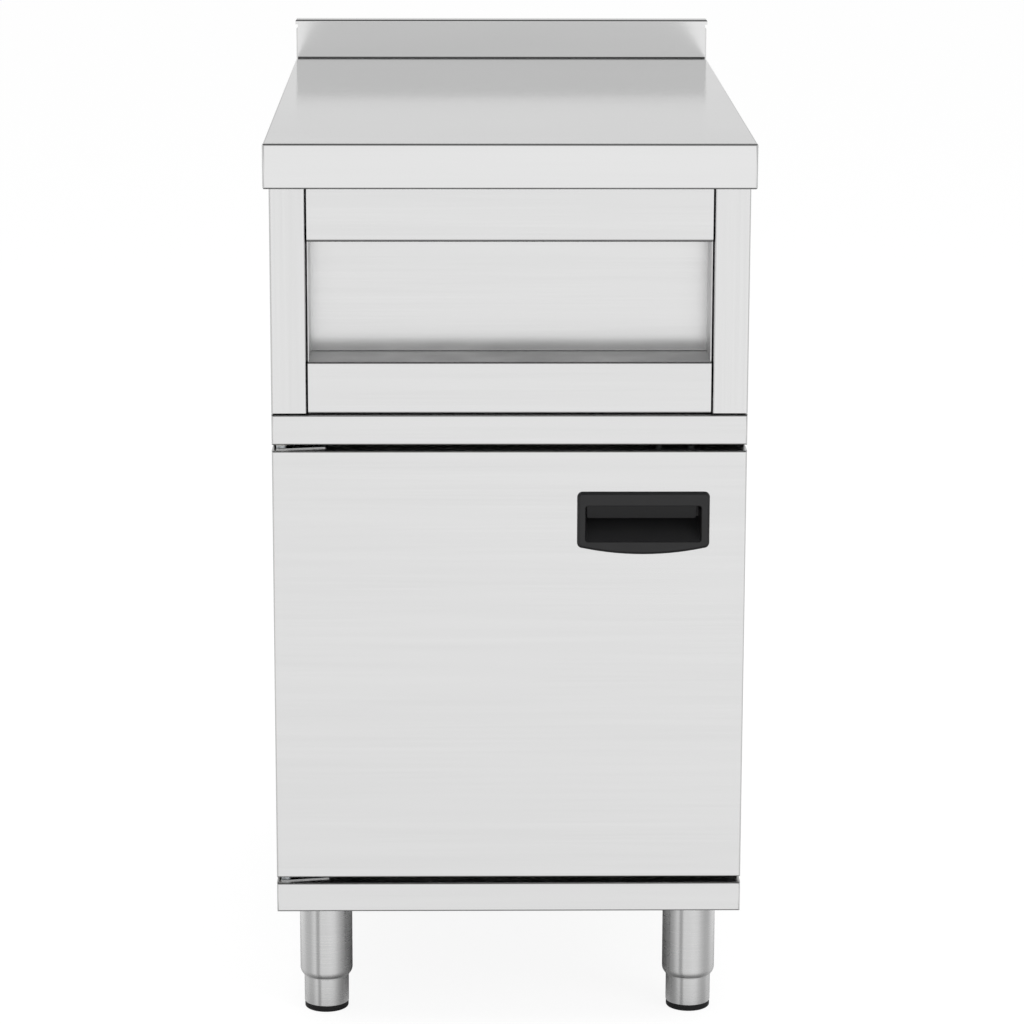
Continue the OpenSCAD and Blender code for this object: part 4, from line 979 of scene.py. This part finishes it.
def white_room(sky):
    """White walls; for reflections dimmer overhead in front, so that bends show their edges."""
    room = bpy.data.worlds.new("White room")
    room.use_nodes = True
    tree = room.node_tree
    tree.nodes.clear()
    direct, mirrored = ray_kinds(tree)
    way = put(tree, "ShaderNodeTexCoord").outputs["Generated"]
    # The dim patch: 58 degrees up in front, wider than it is high
    flat = put(tree, "ShaderNodeVectorMath", {0: way, 1: (0.7, 1, 1)}, operation="MULTIPLY")
    unit = put(tree, "ShaderNodeVectorMath", {0: flat}, operation="NORMALIZE")
    toward = put(tree, "ShaderNodeVectorMath", {0: unit, 1: (0, -0.53, 0.848)},
                 operation="DOT_PRODUCT").outputs["Value"]
    dim = put(tree, "ShaderNodeMapRange", {0: toward, 1: 0.83, 2: 0.94, 3: 1, 4: 0.06},
              interpolation_type="SMOOTHSTEP")
    # Walls by compass direction, and by height over and under the horizon
    split = put(tree, "ShaderNodeSeparateXYZ", {0: way}).outputs
    ahead = put(tree, "ShaderNodeMath", {0: split[1], 1: -1.0}, operation="MULTIPLY")
    compass = put(tree, "ShaderNodeMath", {0: split[0], 1: ahead}, operation="ARCTAN2")
    slope = put(tree, "ShaderNodeMath", {0: split[2]}, operation="ARCSINE")
    level = dim
    for factor in (by_angle(tree, compass, 180, WALLS), by_angle(tree, slope, 90, HEIGHTS), WHOLE_ROOM):
        level = put(tree, "ShaderNodeMath", {0: level, 1: factor}, operation="MULTIPLY")
    for_light = put(tree, "ShaderNodeMix", {0: mirrored, 2: sky, 3: level})
    strength = put(tree, "ShaderNodeMix", {0: direct, 2: for_light, 3: 1.0})
    seen = put(tree, "ShaderNodeBackground", {"Color": (1, 1, 1, 1), "Strength": strength})
    put(tree, "ShaderNodeOutputWorld", {"Surface": seen})
    return room


class WORKMODULE_OT_stage(bpy.types.Operator):
    """White floor and room, soft lamps and the camera at the photograph's angle"""

    bl_idname = "work_module.stage"
    bl_label = "Stage"

    def execute(self, context):
        scene = context.scene
        stage = scene.module_stage
        scene.view_settings.view_transform = "Standard"

        def stand(name, data, place, turn):
            """Stands a lamp or the camera in the room."""
            holder = bpy.data.objects.new(name, data)
            scene.collection.objects.link(holder)
            holder.location = place
            holder.rotation_mode = "QUATERNION"
            holder.rotation_quaternion = turn
            return holder

        # The card reaches 40 m to each side
        plane = bpy.data.meshes.new("floor_card")
        around = [(40 * x, 40 * y, 0) for x, y in ((-1, -1), (1, -1), (1, 1), (-1, 1))]
        plane.from_pydata(around, [], [(0, 1, 2, 3)])
        plane.materials.append(floor_material())
        floor = add_piece("floor", plane)
        scene.world = white_room(stage.sky)

        # Soft lamps: place, the point they face and width in metres, power in watts
        for name, place, aim, wide, power in (
                ("overhead_softbox", (0, -0.5, 3.3), (0, 0, 0.4), 2.8, stage.key),
                ("right_softbox", (2.6, -2.6, 1.9), (0, 0, 0.5), 1.8, stage.side)):
            lamp = bpy.data.lights.new(name, "AREA")
            lamp.shape = "SQUARE"
            lamp.size = wide
            lamp.energy = power
            holder = stand(name, lamp, place, (Vector(aim) - Vector(place)).to_track_quat("-Z", "Y"))
            holder.visible_glossy = False

        # Camera fitted to corners of the unit that the photograph shows
        yaw, pitch, roll = (math.radians(a) for a in (0.812, 12.913, 0.128))
        ahead = Vector((math.sin(yaw) * math.cos(pitch), math.cos(yaw) * math.cos(pitch),
                        -math.sin(pitch)))
        level_x = Vector((math.cos(yaw), -math.sin(yaw), 0))
        up = level_x.cross(ahead)
        right = level_x * math.cos(roll) + up * math.sin(roll)
        up = -level_x * math.sin(roll) + up * math.cos(roll)
        eye = bpy.data.cameras.new("front_camera")
        eye.sensor_width = 36
        eye.lens = stage.lens_mm
        eye.clip_end = 200
        turn = Matrix((right, up, -ahead)).transposed().to_quaternion()
        holder = stand("front_camera", eye, Vector((-45.8, -3762.0, 1292.7)) * MM, turn)
        scene.camera = holder
        return {"FINISHED"}


class WORKMODULE_PT_sidebar(bpy.types.Panel):
    """Lists the sizes, the finishes and the operators"""

    bl_label = "Work module"
    bl_idname = "WORKMODULE_PT_sidebar"
    bl_space_type = "VIEW_3D"
    bl_region_type = "UI"
    bl_category = "Work module"

    def draw(self, context):
        for name in GROUPS:
            group = getattr(context.scene, name)
            box = self.layout.box()
            box.label(text=name.split("_")[1].capitalize())
            for size in group.__annotations__:
                box.prop(group, size)
        for operator in OPERATORS:
            self.layout.operator(operator.bl_idname)


GROUPS = {"module_pull": ModulePullSizes, "module_legs": ModuleLegSizes,
          "module_fasteners": ModuleFastenerSizes, "module_finish": ModuleFinish,
          "module_stage": ModuleStage}
OPERATORS = (WORKMODULE_OT_worktop, WORKMODULE_OT_top_unit, WORKMODULE_OT_base, WORKMODULE_OT_legs,
             WORKMODULE_OT_feet, WORKMODULE_OT_door, WORKMODULE_OT_hinges, WORKMODULE_OT_catch,
             WORKMODULE_OT_pull, WORKMODULE_OT_fasteners, WORKMODULE_OT_stage)


def register():
    for name, group in GROUPS.items():
        bpy.utils.register_class(group)
        setattr(bpy.types.Scene, name, PointerProperty(type=group))
    for made in OPERATORS + (WORKMODULE_PT_sidebar,):
        bpy.utils.register_class(made)


def unregister():
    for made in reversed(OPERATORS + (WORKMODULE_PT_sidebar,)):
        bpy.utils.unregister_class(made)
    for name, group in GROUPS.items():
        delattr(bpy.types.Scene, name)
        bpy.utils.unregister_class(group)


def main():
    """Builds the scene."""
    register()
    bpy.ops.work_module.worktop()
    bpy.ops.work_module.top_unit()
    bpy.ops.work_module.base()
    bpy.ops.work_module.legs()
    bpy.ops.work_module.feet()
    bpy.ops.work_module.door()
    bpy.ops.work_module.hinges()
    bpy.ops.work_module.catch()
    bpy.ops.work_module.pull()
    bpy.ops.work_module.fasteners()
    bpy.ops.work_module.stage()


if __name__ == "__main__":
    main()
